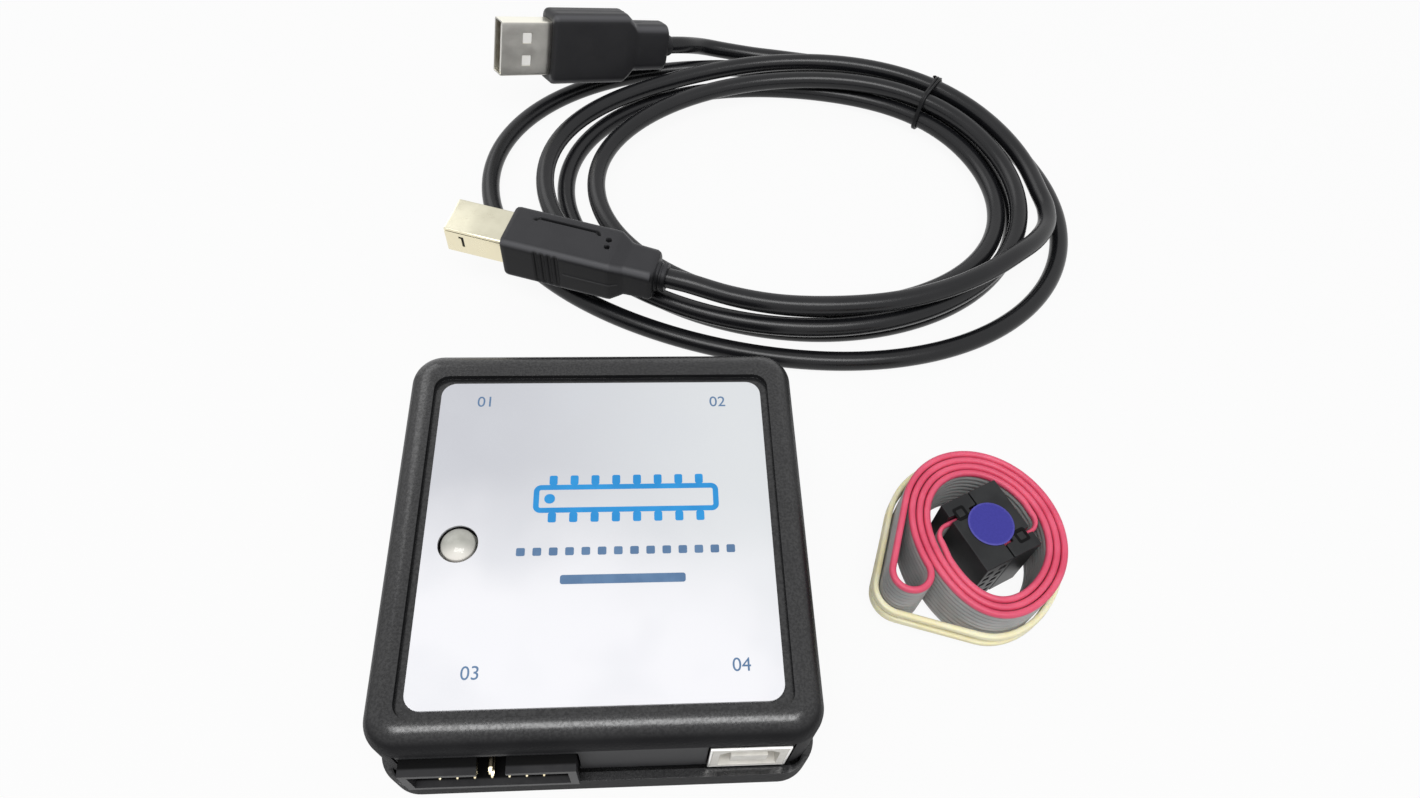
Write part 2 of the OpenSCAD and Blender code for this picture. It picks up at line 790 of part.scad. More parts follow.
// Direction in which a plug's cable leaves
function plug_axis(turn) = [cos(turn[1]) * cos(turn[2]), cos(turn[1]) * sin(turn[2]), -sin(turn[1])];

// Hand laid stretches between the plugs and the coil
tail_a_bends = [
  [-16.5, 47.6, 4.8], [-11, 48.1, 3.4], [-3.6, 47.9, 2.3], [3.5, 47, 2.1], [11, 45.7, 2.1],
  [19.5, 43.8, 2.4]
];
tail_b_bends = [
  [58, -15, 7.4], [53.6, -21.5, 9.2], [47.5, -27, 10.7], [39.5, -32.5, 11], [30, -37, 11],
  [19, -40, 10.9], [7, -41.2, 10.9], [-5, -41, 11.2], [-15, -39.8, 12.4]
];
tail_a_exit = plug_a_at + tail_a_l * plug_axis(plug_a_turn);
tail_b_exit = plug_b_at + tail_b_l * plug_axis(plug_b_turn);
tail_a_path = concat(
  [tail_a_exit, tail_a_exit + cable_d * plug_axis(plug_a_turn)],
  tail_a_bends,
  [coil_head - cable_d * level(coil_heading(0)), coil_head]
);
tail_b_path = concat(
  [coil_tail, coil_tail + cable_d * level(coil_heading(coil_turns))],
  tail_b_bends,
  [tail_b_exit + cable_d * plug_axis(plug_b_turn), tail_b_exit]
);

module usb_lead_tail_a() {
  color("#17181a") at_usb_lead() tube(tail_a_path, cable_r, 8);
}

module usb_lead_tail_b() {
  color("#17181a") at_usb_lead() tube(tail_b_path, cable_r, 8);
}

// Band round the loops where they lie closest, upright across them
module cable_tie() {
  turn = (coil_start_angle - tie_angle) / 360;
  outer = coil_point(turn);
  inner = coil_point(turn + 2);
  upper = coil_point(turn + 4);
  middle = (outer + inner) / 2;
  spread = norm([outer[0] - inner[0], outer[1] - inner[1]]);
  low = outer[2] - cable_r - tie_gap;
  high = upper[2] + cable_r + tie_gap;
  inner_w = spread + cable_d + 2 * tie_gap + tie_slack;
  across = atan2(outer[1] - inner[1], outer[0] - inner[0]);
  color("#0f0f10") at_usb_lead() translate([middle[0], middle[1], (low + high) / 2])
    rotate([90, 0, across]) linear_extrude(tie_w, center = true) difference() {
      rounded_rect(inner_w + 2 * tie_t, high - low + 2 * tie_t, cable_r + tie_t);
      rounded_rect(inner_w, high - low, cable_r);
    }
}

// Frames of the two plugs: +X points to the cable, the grip starts at X = 0
module at_plug_a() {
  at_usb_lead() translate(plug_a_at) rotate(plug_a_turn) children();
}

module at_plug_b() {
  at_usb_lead() translate(plug_b_at) rotate(plug_b_turn) children();
}

// Prism along X from x0 to x1 of a flat shape in Y and Z
module along(x0, x1) {
  translate([x0, 0, 0]) rotate([90, 0, 90]) linear_extrude(x1 - x0) children();
}

// Windows in the type A shell, bed under its contacts, and how far both plugs' insides lie back
window_w = 2.4;
window_l = 2.2;
window_x = -6;
window_y = 2.5;
bed_h = 1.9;
bed_back = 0.5;
contact_pitch = 2.4;

module usb_a_shell() {
  color("#cfcdc6") at_plug_a() difference() {
    along(-shell_l, 0) square([plug_a_w, plug_a_h], center = true);
    along(-shell_l - slip, slip)
      square([plug_a_w - 2 * shell_sheet, plug_a_h - 2 * shell_sheet], center = true);
    for (sy = [-1, 1])
      translate([window_x, sy * window_y, 0]) cube([window_l, window_w, 2 * plug_a_h], center = true);
  }
}

module usb_a_tongue() {
  bed_w = plug_a_w - 2 * shell_sheet;
  bed_z = (plug_a_h - bed_h) / 2 - shell_sheet;
  color("#e9e8e2") at_plug_a() along(bed_back - shell_l, 0)
    translate([0, bed_z]) square([bed_w, bed_h], center = true);
}

module usb_a_contacts() {
  bed_face = plug_a_h / 2 - shell_sheet - bed_h;
  color("#d8b45a") at_plug_a() for (i = [-1.5:1:1.5])
    along(2 * bed_back - shell_l, -bed_back)
      translate([i * contact_pitch, bed_face - strip_t / 2]) square([strip_w, strip_t], center = true);
}

// Moulded grip, tapered neck and cuff round the cable
module grip(w, h, l, neck_l, r) {
  neck_w = (w + cuff_d) / 2;
  neck_h = min(h, (h + cuff_d) / 2);
  along(0, l - taper_l) rounded_rect(w, h, r);
  hull() {
    along(l - taper_l, l - taper_l + taper_sheet) rounded_rect(w, h, r, $fn = 32);
    along(l - taper_sheet, l) rounded_rect(neck_w, neck_h, r, $fn = 32);
  }
  along(l, l + neck_l) rounded_rect(neck_w, neck_h, r);
  along(l + neck_l, l + neck_l + cuff_l) circle(d = cuff_d);
}

grip_a_r = 2;
grip_b_r = 1.5;

module usb_a_grip() {
  color("#1a1a1e") at_plug_a() grip(grip_a_w, grip_a_h, grip_a_l, neck_a_l, grip_a_r);
}

module usb_b_outline(inset) {
  rotate(180) chamfered_rect(plug_b_w - 2 * inset, plug_b_h - 2 * inset, mouth_chamfer);
}

// Side slots of the type B shell, and the room in its liner for the socket's tongue
side_slot_x = -8.6;
slot_l = 0.9;
slot_h = 1.8;
room_w = tongue_w + 4 * strip_t;
room_h = tongue_h + 4 * strip_t;

module usb_b_shell() {
  color("#d8d4c4") at_plug_b() difference() {
    along(-shell_l, 0) usb_b_outline(0);
    along(-shell_l - slip, slip) usb_b_outline(shell_sheet);
    translate([side_slot_x, 0, 0]) cube([slot_l, 2 * plug_b_w, slot_h], center = true);
  }
}

// Plastic liner of the type B plug, with room for the tongue of its socket
module usb_b_insert() {
  color("#2a2a2c") at_plug_b() difference() {
    along(bed_back - shell_l, 0) usb_b_outline(shell_sheet);
    along(-shell_l, -2 * bed_back) square([room_w, room_h], center = true);
  }
}

module usb_b_contacts() {
  color("#d8b45a") at_plug_b() for (sy = [-1, 1], sz = [-1, 1])
    along(2 * bed_back - shell_l, -2 * bed_back)
      translate([sy * tongue_w / 4, sz * (room_h - strip_t) / 2]) square([strip_w, strip_t], center = true);
}

// Grip grooves and the sunk oblong on top of the type B grip
groove_count = 4;
groove_start = 7.5;
groove_pitch = 1.4;
groove_w = 0.8;
groove_t = 0.4;
pad_l = 12;
pad_w = 5;

module usb_b_grip() {
  color("#1a1a1e") at_plug_b() difference() {
    grip(grip_b_w, grip_b_h, grip_b_l, neck_b_l, grip_b_r);
    for (i = [0:groove_count - 1], sy = [-1, 1])
      translate([groove_start + i * groove_pitch, sy * grip_b_w / 2, 0])
        cube([groove_w, 2 * groove_t, grip_b_h - 2 * grip_b_r], center = true);
    translate([grip_b_l / 2, 0, grip_b_h / 2 - groove_t])
      linear_extrude(2 * groove_t) rounded_rect(pad_l, pad_w, grip_b_r);
  }
}

// Ribbon lead: folded in half, both halves rolled together round the two sockets
roll_rings = 24;
arm_start = 261;
first_angle = 276;
fold_angle = 991;
leave_angle = 945;
fold_lead = 42;
bend_r = 2.4;
lead_rise = 0.15;
// Bulge on one side of the roll: height, direction and sharpness
roll_bulge = 2.2;
bulge_angle = -36;
bulge_sharpness = 3;
slot_x = idc_cover_l + idc_gap + ribbon_t / 2 - idc_l / 2;
ribbon_z = (idc_h - ribbon_w) / 2;

function backwards(list) = [for (i = [len(list) - 1:-1:0]) list[i]];
function roll_out(angle, from) = 2 * wrap_pitch * (angle - from) / 360;
function bulge(angle) =
  roll_bulge * pow(max(0, cos(angle - bulge_angle)), bulge_sharpness) * [cos(bulge_angle), sin(bulge_angle)];
function roll_point(angle, out) = [(roll_a + out) * cos(angle), (roll_b + out) * sin(angle)] + bulge(angle);
function outer_arm(angle) = roll_point(angle, roll_out(angle, arm_start));
function inner_arm(angle) = roll_point(angle, roll_out(angle, arm_start + 180));
function swept(from, to) =
  let (steps = round((to - from) * roll_rings / 360))
  [for (i = [0:steps]) from + (to - from) * i / steps];
function arc(middle, r, from, turn, steps) =
  [for (i = [0:steps]) middle + r * [cos(from + turn * i / steps), sin(from + turn * i / steps)]];

// Way from a socket's slot to the innermost turn: straight out, then a quarter bend
bend_middle = [slot_x + bend_r, bend_r + lead_rise - roll_b];
bend_steps = 5;
lead_in = concat(
  [[slot_x, -idc_apart / 2 - idc_gap]],
  arc(bend_middle, bend_r, 180, 90, bend_steps)
);
fold_out = roll_point(fold_angle, roll_out(fold_angle, arm_start) + fold_swell);
fold_in = inner_arm(fold_angle);
fold_middle = (fold_out + fold_in) / 2;
fold_r = norm(fold_out - fold_in) / 2;
fold_from = atan2(fold_out[1] - fold_in[1], fold_out[0] - fold_in[0]);
fold_steps = 10;
ribbon_path = concat(
  lead_in,
  [for (a = swept(first_angle, leave_angle)) outer_arm(a)],
  arc(fold_middle, fold_r, fold_from - fold_lead, 180 + fold_lead, fold_steps),
  [for (a = backwards(swept(first_angle + 180, fold_angle - 360 / roll_rings))) inner_arm(a)],
  -backwards(lead_in)
);

function side_step(path, i) =
  let (heading = unit(path[min(i + 1, len(path) - 1)] - path[max(i - 1, 0)])) [-heading[1], heading[0]];
function beside(path, step) = [for (i = [0:len(path) - 1]) path[i] + step * side_step(path, i)];
function path_length(path) = total([for (i = [1:len(path) - 1]) norm(path[i] - path[i - 1])]);

echo(ribbon_least_gap = least_apart(finer(ribbon_path), 2 * roll_rings) - ribbon_t);
echo(ribbon_length = path_length(ribbon_path));
echo(cable_length = path_length(coil_path) + path_length(tail_a_path) + path_length(tail_b_path));

module at_roll() {
  translate([case_w / 2 + roll_x, roll_y, 0]) rotate([0, 0, roll_turn]) children();
}

module ribbon_roll() {
  color("#9a9a9c") at_roll() translate([0, 0, ribbon_z]) linear_extrude(ribbon_w)
    polygon(concat(beside(ribbon_path, ribbon_t / 2), backwards(beside(ribbon_path, -ribbon_t / 2))));
}

idc_holes = 5;
idc_hole_w = 1.2;
idc_hole_l = 6;
latch_w = 2.6;
latch_t = 1;
spring_t = 0.3;

// Places of the pin holes of one socket, on its mating end
module at_holes() {
  for (i = [0:idc_holes - 1], row = [-0.5, 0.5])
    translate([
      idc_l / 2 - idc_hole_l,
      -idc_apart / 2 - idc_w / 2 + row * pitch - idc_hole_w / 2,
      idc_h / 2 + (i - (idc_holes - 1) / 2) * pitch - idc_hole_w / 2
    ]) children();
}

// Body of one socket, which stands on end beside the middle of the roll
module idc_body() {
  body_x = slot_x + ribbon_t / 2 + idc_gap;
  color("#19191b") difference() {
    translate([body_x, -idc_apart / 2 - idc_w, 0]) cube([idc_l / 2 - body_x, idc_w, idc_h]);
    at_holes() cube([idc_hole_l + slip, idc_hole_w, idc_hole_w]);
  }
}

// Cover that clamps the ribbon, with a latch at each end that reaches the body
module idc_cover() {
  latch_l = ribbon_t + 2 * idc_gap;
  color("#242426") translate([-idc_l / 2, -idc_apart / 2 - idc_w, 0]) {
    cube([idc_cover_l, idc_w, idc_h]);
    for (z = [0, idc_h - latch_t])
      translate([idc_cover_l, (idc_w - latch_w) / 2, z]) cube([latch_l, latch_w, latch_t]);
  }
}

module ribbon_socket_a() {
  at_roll() idc_body();
}

module ribbon_cover_a() {
  at_roll() idc_cover();
}

module ribbon_socket_b() {
  at_roll() rotate([0, 0, 180]) idc_body();
}

module ribbon_cover_b() {
  at_roll() rotate([0, 0, 180]) idc_cover();
}

module ribbon_contacts() {
  color("#d8b45a") at_roll() for (turn = [0, 180]) rotate([0, 0, turn])
    at_holes() cube([idc_hole_l - slip, spring_t, idc_hole_w]);
}

module dot_sticker() {
  color("#3b3fa8") at_roll() translate([0, 0, idc_h]) cylinder(h = dot_t, d = dot_d);
}

// Stretched outline round the roll and its fold, by its outward direction
band_steps = 36;
band_slant = 2;
strand_step = band_w + 1;
function farthest(path, n) = let (far = max([for (p = path) p * n])) [for (p = path) if (p * n == far) p][0];
function taut_point(angle, out) =
  let (n = [cos(angle), sin(angle)]) farthest(ribbon_path, n) + (ribbon_t / 2 + out) * n;
function taut_loop(out) = [for (i = [0:band_steps - 1]) taut_point(360 * i / band_steps, out)];

module rubber_band() {
  color("#e6d79a") at_roll() for (z = [band_z, band_z + strand_step])
    translate([0, 0, z]) rotate([band_slant, 0, 0]) linear_extrude(band_w) difference() {
      polygon(taut_loop(band_gap + band_t));
      polygon(taut_loop(band_gap));
    }
}

bottom_shell();
top_shell();
label_plate();
front_panel();
rear_panel();
circuit_board();
usb_socket_shell();
usb_socket_insert();
usb_socket_contacts();
front_header();
front_header_pins();
rear_left_header();
rear_left_header_pins();
rear_right_header();
rear_right_header_pins();
button_cap();
switch_plunger();
tact_switch();
status_lamp();
controller_chip();
buffer_chip();
regulator();
crystal();
capacitors();
resistors();
case_screws();
usb_a_shell();
usb_a_tongue();
usb_a_contacts();
usb_a_grip();
usb_b_shell();
usb_b_insert();
usb_b_contacts();
usb_b_grip();
usb_lead_coil();
usb_lead_tail_a();
usb_lead_tail_b();
cable_tie();
ribbon_roll();
ribbon_socket_a();
ribbon_cover_a();
ribbon_socket_b();
ribbon_cover_b();
ribbon_contacts();
dot_sticker();
rubber_band();
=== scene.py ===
import math

import bmesh
import bpy
import numpy as np
from mathutils import Matrix, Vector


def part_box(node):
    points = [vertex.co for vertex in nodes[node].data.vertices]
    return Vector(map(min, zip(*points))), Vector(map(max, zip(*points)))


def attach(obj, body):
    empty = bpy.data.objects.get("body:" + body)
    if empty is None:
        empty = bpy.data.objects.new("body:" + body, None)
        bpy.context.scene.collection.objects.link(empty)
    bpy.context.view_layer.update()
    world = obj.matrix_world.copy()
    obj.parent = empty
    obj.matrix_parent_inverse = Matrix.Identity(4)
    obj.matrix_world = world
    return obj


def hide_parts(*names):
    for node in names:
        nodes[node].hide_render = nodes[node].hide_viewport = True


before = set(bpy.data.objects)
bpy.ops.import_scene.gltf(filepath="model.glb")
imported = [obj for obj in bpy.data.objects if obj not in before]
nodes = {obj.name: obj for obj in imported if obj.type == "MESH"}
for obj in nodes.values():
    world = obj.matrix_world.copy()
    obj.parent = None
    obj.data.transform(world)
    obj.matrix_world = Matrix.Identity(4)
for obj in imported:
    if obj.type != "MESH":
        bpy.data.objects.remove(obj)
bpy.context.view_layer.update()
scene = bpy.context.scene
scene.view_settings.view_transform = "Standard"
mm = 0.001
print("frame loaded:", len(nodes), "nodes")


def newObject(name, data):
    piece = bpy.data.objects.new(name, data)
    scene.collection.objects.link(piece)
    return piece


# camera at the photograph's place: focal length and width in its pixels, place in mm, angles in degrees

eye = {"focal": 950.0, "wide": 1420.0, "sensor": 36.0, "nearest": 0.005, "place": (6.94, -64.66, 160.88),
       "azimuth": 7.5, "elevation": 57.22, "roll": 5.88}


def placeCamera(look):
    azimuth, elevation, roll = (math.radians(look[key]) for key in ("azimuth", "elevation", "roll"))
    level = math.cos(elevation)
    ahead = Vector((math.sin(azimuth) * level, math.cos(azimuth) * level, -math.sin(elevation)))
    right = ahead.cross(Vector((0, 0, 1))).normalized()
    above = right.cross(ahead)
    tiltedRight = math.cos(roll) * right + math.sin(roll) * above
    tiltedAbove = math.cos(roll) * above - math.sin(roll) * right
    data = bpy.data.cameras.new("photoCamera")
    data.sensor_fit = "HORIZONTAL"
    data.sensor_width = look["sensor"]
    data.lens = look["sensor"] * look["focal"] / look["wide"]
    data.clip_start = look["nearest"]
    turn = Matrix((tiltedRight, tiltedAbove, -ahead)).transposed().to_4x4()
    scene.camera = newObject("photoCamera", data)
    scene.camera.matrix_world = Matrix.Translation(Vector(look["place"]) * mm) @ turn


placeCamera(eye)

# shader maths: a wire is a socket that can be added, scaled and so on


def setSocket(tree, socket, value):
    if isinstance(value, Wire):
        tree.links.new(value.socket, socket)
    elif socket.type == "RGBA" and len(value) == 3:
        socket.default_value = (*value, 1)
    else:
        socket.default_value = value


def feed(tree, node, values):
    for name, value in values.items():
        setSocket(tree, node.inputs[name], value)


# every node comes from here: its kind, its settings, then the values or links of its sockets
def makeNode(tree, kind, settings=None, values=None):
    node = tree.nodes.new(kind)
    for name, value in (settings or {}).items():
        setattr(node, name, value)
    feed(tree, node, values or {})
    return node


def addNode(tree, kind, settings=None, values=None, out=0):
    return Wire(tree, makeNode(tree, kind, settings, values).outputs[out])


class Wire:
    def __init__(self, tree, socket):
        self.tree = tree
        self.socket = socket

    def calc(self, operation, first, second=0.0):
        return addNode(self.tree, "ShaderNodeMath", {"operation": operation}, {0: first, 1: second})

    def __add__(self, other):
        return self.calc("ADD", self, other)

    def __radd__(self, other):
        return self.calc("ADD", other, self)

    def __sub__(self, other):
        return self.calc("SUBTRACT", self, other)

    def __rsub__(self, other):
        return self.calc("SUBTRACT", other, self)

    def __mul__(self, other):
        return self.calc("MULTIPLY", self, other)

    def __rmul__(self, other):
        return self.calc("MULTIPLY", other, self)

    def __truediv__(self, other):
        return self.calc("DIVIDE", self, other)

    def __rtruediv__(self, other):
        return self.calc("DIVIDE", other, self)

    def __abs__(self):
        return self.calc("ABSOLUTE", self)


# an empty node tree of a material or the world
def clearTree(owner):
    owner.use_nodes = True
    owner.node_tree.nodes.clear()
    return owner.node_tree


def closeTree(tree, kind, surface):
    makeNode(tree, kind, None, {"Surface": surface})


def startFinish(name, constants):
    material = bpy.data.materials.new(name)
    tree = clearTree(material)
    shader = makeNode(tree, "ShaderNodeBsdfPrincipled", None, constants)
    closeTree(tree, "ShaderNodeOutputMaterial", Wire(tree, shader.outputs[0]))
    return material, tree, shader, addNode(tree, "ShaderNodeTexCoord", out="Object")


def noiseAt(tree, place, size, detail=2.0, rough=0.5):
    return addNode(tree, "ShaderNodeTexNoise", None,
                   {"Vector": place, "Scale": 1 / size, "Detail": detail, "Roughness": rough})


def mapped(tree, place, **values):
    return addNode(tree, "ShaderNodeMapping", None, {"Vector": place, **values})


def split(tree, place, axis):
    return addNode(tree, "ShaderNodeSeparateXYZ", None, {0: place}, out=axis)


def normalOf(tree):
    return addNode(tree, "ShaderNodeTexCoord", out="Normal")


# the mix node's sockets for colours are 6 and 7, and its output for them is 2
def blendColor(tree, share, first, second):
    return addNode(tree, "ShaderNodeMix", {"data_type": "RGBA"}, {0: share, 6: first, 7: second}, out=2)


def ease(tree, value, low, high, first=0.0, last=1.0):
    return addNode(tree, "ShaderNodeMapRange", {"interpolation_type": "SMOOTHSTEP"},
                   {0: value, 1: low, 2: high, 3: first, 4: last})


def bumpOf(tree, height, depth):
    return addNode(tree, "ShaderNodeBump", None, {"Height": height, "Distance": depth, "Strength": 1.0})


# two tones that run into each other as a noise goes
def twoTone(tree, noise, first, second, low=0.3, high=0.7):
    return blendColor(tree, ease(tree, noise, low, high), first, second)


# painted shadow: darker towards the rear, where the panel's edge overhangs
def panelShadowColor(tree, place, color, look):
    front, rear, dark = look["panelShadow"]
    return blendColor(tree, ease(tree, split(tree, place, 1), front, rear), color, dark)


# moulded plastic, rubber and jacket finishes: a mottled colour, a fine grain and uneven gloss
moulding = {"grainRough": 0.6, "tone": (0.35, 0.65), "grainShare": 0.5, "side": (0.1, 0.6), "upper": (0.62, 0.95),
            "speckle": (0.35, 0.65, 0.7, 1.2)}


def mouldedFinish(name, look):
    constants = {"Specular IOR Level": look["gloss"], **look.get("constants", {})}
    material, tree, shader, place = startFinish(name, constants)
    cloud = noiseAt(tree, place, look["cloud"], 3.0)
    grain = noiseAt(tree, place, look["grain"], 2.0, moulding["grainRough"])
    color = twoTone(tree, cloud, look["color"], look["tint"], *moulding["tone"])
    # painted light and shade from a per-point attribute: lit faces and edges go towards the pale colour, dents stay
    # dark
    if "paintedLitColor" in look:
        wear = addNode(tree, "ShaderNodeAttribute", {"attribute_name": "wear"}, out="Fac")
        color = blendColor(tree, wear, color, look["paintedLitColor"])
    # painted shadow towards the rear, under the panel's edge
    if "panelShadow" in look:
        color = panelShadowColor(tree, place, color, look)
    rough = look["rough"] + look["uneven"] * (cloud - 0.5) + moulding["grainShare"] * look["uneven"] * (grain - 0.5)
    links = {"Base Color": color, "Roughness": rough, "Normal": bumpOf(tree, grain, look["depth"])}
    if "sideMatte" in look:
        rise = split(tree, normalOf(tree), 2)
        links["Roughness"] = rough + look["sideMatte"] * (1 - ease(tree, rise, *moulding["side"]))
        if "polish" in look:  # handled upper faces shine, in speckles as the grain goes
            shine = look["polish"] * ease(tree, rise, *moulding["upper"])
            links["Coat Weight"] = shine * ease(tree, grain, *moulding["speckle"])
    feed(tree, shader, links)
    return material


# sheet metal: fine drawn lines along one axis, with a few duller clouds; a side that faces one way can be painted
# paler, a painted reflection
drawing = {"cloudShare": 0.6, "lineShare": 0.4, "facing": (0.5, 0.9)}


def metalFinish(name, look):
    material, tree, shader, place = startFinish(name, {"Metallic": 1.0})
    drawn = mapped(tree, place, Rotation=look.get("turn", (0.0, 0.0, 0.0)), Scale=look["lines"])
    lines = noiseAt(tree, drawn, look["grain"], 3.0)
    cloud = noiseAt(tree, place, look["cloud"], 3.0)
    share = ease(tree, cloud, 0.3, 0.7) * drawing["cloudShare"] + lines * drawing["lineShare"]
    color = blendColor(tree, share, look["color"], look["tint"])
    # painted reflection: paler on the side that faces the given way
    if "litSide" in look:
        facing = addNode(tree, "ShaderNodeVectorMath", {"operation": "DOT_PRODUCT"},
                         {0: normalOf(tree), 1: look["litWay"]}, out="Value")
        color = blendColor(tree, ease(tree, abs(facing), *drawing["facing"]), color, look["litSide"])
    # painted shadow towards the rear, under the panel's edge
    if "panelShadow" in look:
        color = panelShadowColor(tree, place, color, look)
    rough = look["rough"] + look["uneven"] * (lines - 0.5) + look["uneven"] * (cloud - 0.5)
    feed(tree, shader, {"Base Color": color, "Roughness": rough, "Normal": bumpOf(tree, lines, look["depth"])})
    return material


plastics = {
    "caseBlack": {"gloss": 0.06, "color": (0.0105, 0.0105, 0.0115), "tint": (0.0140, 0.0140, 0.0150), "rough": 0.25,
                  "uneven": 0.10, "cloud": 9 * mm, "grain": 0.40 * mm, "depth": 0.07 * mm, "sideMatte": 0.36,
                  "polish": 1.0, "constants": {"Coat Roughness": 0.22}},
    "panelBlack": {"gloss": 0.30, "sideMatte": 0.25, "color": (0.019, 0.019, 0.021), "tint": (0.025, 0.025, 0.027),
                   "rough": 0.42, "uneven": 0.08, "cloud": 6 * mm, "grain": 0.3 * mm, "depth": 0.012 * mm},
    "headerBlack": {"gloss": 0.22, "color": (0.009, 0.009, 0.010), "tint": (0.014, 0.014, 0.014), "rough": 0.40,
                    "uneven": 0.08, "cloud": 3 * mm, "grain": 0.2 * mm, "depth": 0.008 * mm},
    # the front header's top is painted dark towards the rear: a painted shadow under the panel's edge
    "portBlack": {"gloss": 0.08, "color": (0.030, 0.030, 0.032), "tint": (0.038, 0.038, 0.040), "rough": 0.40,
                  "uneven": 0.08, "cloud": 3 * mm, "grain": 0.2 * mm, "depth": 0.008 * mm,
                  "panelShadow": (-34.75 * mm, -34.35 * mm, (0.001, 0.001, 0.0012))},
    "windowWhite": {"gloss": 0.5, "color": (0.93, 0.92, 0.88), "tint": (0.96, 0.95, 0.92), "rough": 0.40,
                    "uneven": 0.06, "cloud": 2 * mm, "grain": 0.15 * mm, "depth": 0.003 * mm},
    "linerWhite": {"gloss": 0.5, "color": (0.78, 0.76, 0.70), "tint": (0.86, 0.85, 0.80), "rough": 0.42,
                   "uneven": 0.08, "cloud": 2 * mm, "grain": 0.15 * mm, "depth": 0.005 * mm},
    "jacketBlack": {"gloss": 0.34, "color": (0.0060, 0.0063, 0.0075), "tint": (0.009, 0.009, 0.0105), "rough": 0.27,
                    "uneven": 0.10, "cloud": 14 * mm, "grain": 0.5 * mm, "depth": 0.003 * mm},
    # the grips' pale colour is their painted light on edges and upper faces
    "gripBlack": {"gloss": 0.14, "color": (0.005, 0.005, 0.006), "tint": (0.008, 0.008, 0.009), "rough": 0.40,
                  "uneven": 0.10, "cloud": 5 * mm, "grain": 0.3 * mm, "depth": 0.016 * mm,
                  "paintedLitColor": (0.120, 0.120, 0.128)},
    "tieBlack": {"gloss": 0.22, "color": (0.007, 0.007, 0.008), "tint": (0.011, 0.011, 0.012), "rough": 0.38,
                 "uneven": 0.10, "cloud": 3 * mm, "grain": 0.2 * mm, "depth": 0.008 * mm},
    "socketBlack": {"gloss": 0.24, "color": (0.0125, 0.0130, 0.0140), "tint": (0.020, 0.021, 0.022), "rough": 0.40,
                    "uneven": 0.10, "cloud": 4 * mm, "grain": 0.25 * mm, "depth": 0.010 * mm},
    # near black: painted shade for the gaps round the latches
    "latchBlack": {"gloss": 0.10, "color": (0.0015, 0.0015, 0.0018), "tint": (0.0025, 0.0025, 0.0028), "rough": 0.5,
                   "uneven": 0.10, "cloud": 2 * mm, "grain": 0.2 * mm, "depth": 0.005 * mm},
    "insertIvory": {"gloss": 0.4, "color": (0.66, 0.64, 0.59), "tint": (0.74, 0.72, 0.67), "rough": 0.45,
                    "uneven": 0.08, "cloud": 2 * mm, "grain": 0.15 * mm, "depth": 0.005 * mm},
    "switchGrey": {"gloss": 0.4, "color": (0.030, 0.030, 0.033), "tint": (0.045, 0.045, 0.048), "rough": 0.45,
                   "uneven": 0.08, "cloud": 2 * mm, "grain": 0.2 * mm, "depth": 0.006 * mm},
    "chipBlack": {"gloss": 0.35, "color": (0.014, 0.014, 0.015), "tint": (0.021, 0.021, 0.022), "rough": 0.50,
                  "uneven": 0.08, "cloud": 2 * mm, "grain": 0.12 * mm, "depth": 0.008 * mm},
    "ceramicTan": {"gloss": 0.5, "color": (0.36, 0.23, 0.10), "tint": (0.48, 0.33, 0.16), "rough": 0.40,
                   "uneven": 0.10, "cloud": 1 * mm, "grain": 0.1 * mm, "depth": 0.004 * mm},
    "lampClear": {"gloss": 0.5, "color": (0.76, 0.74, 0.62), "tint": (0.86, 0.85, 0.74), "rough": 0.22,
                  "uneven": 0.06, "cloud": 1 * mm, "grain": 0.1 * mm, "depth": 0.002 * mm,
                  "constants": {"Coat Weight": 0.5}},
    "inkBlue": {"gloss": 0.4, "color": (0.014, 0.240, 0.580), "tint": (0.018, 0.275, 0.640), "rough": 0.36,
                "uneven": 0.06, "cloud": 4 * mm, "grain": 0.12 * mm, "depth": 0.003 * mm},
    "inkSlate": {"gloss": 0.4, "color": (0.085, 0.165, 0.300), "tint": (0.105, 0.195, 0.340), "rough": 0.38,
                 "uneven": 0.06, "cloud": 3 * mm, "grain": 0.12 * mm, "depth": 0.003 * mm},
    "bandLatex": {"gloss": 0.4, "color": (0.93, 0.84, 0.53), "tint": (0.96, 0.90, 0.64), "rough": 0.48,
                  "uneven": 0.10, "cloud": 5 * mm, "grain": 0.35 * mm, "depth": 0.02 * mm,
                  "constants": {"Subsurface Weight": 0.3, "Subsurface Scale": 1 * mm,
                                "Subsurface Radius": (1.0, 0.8, 0.4)}},
}
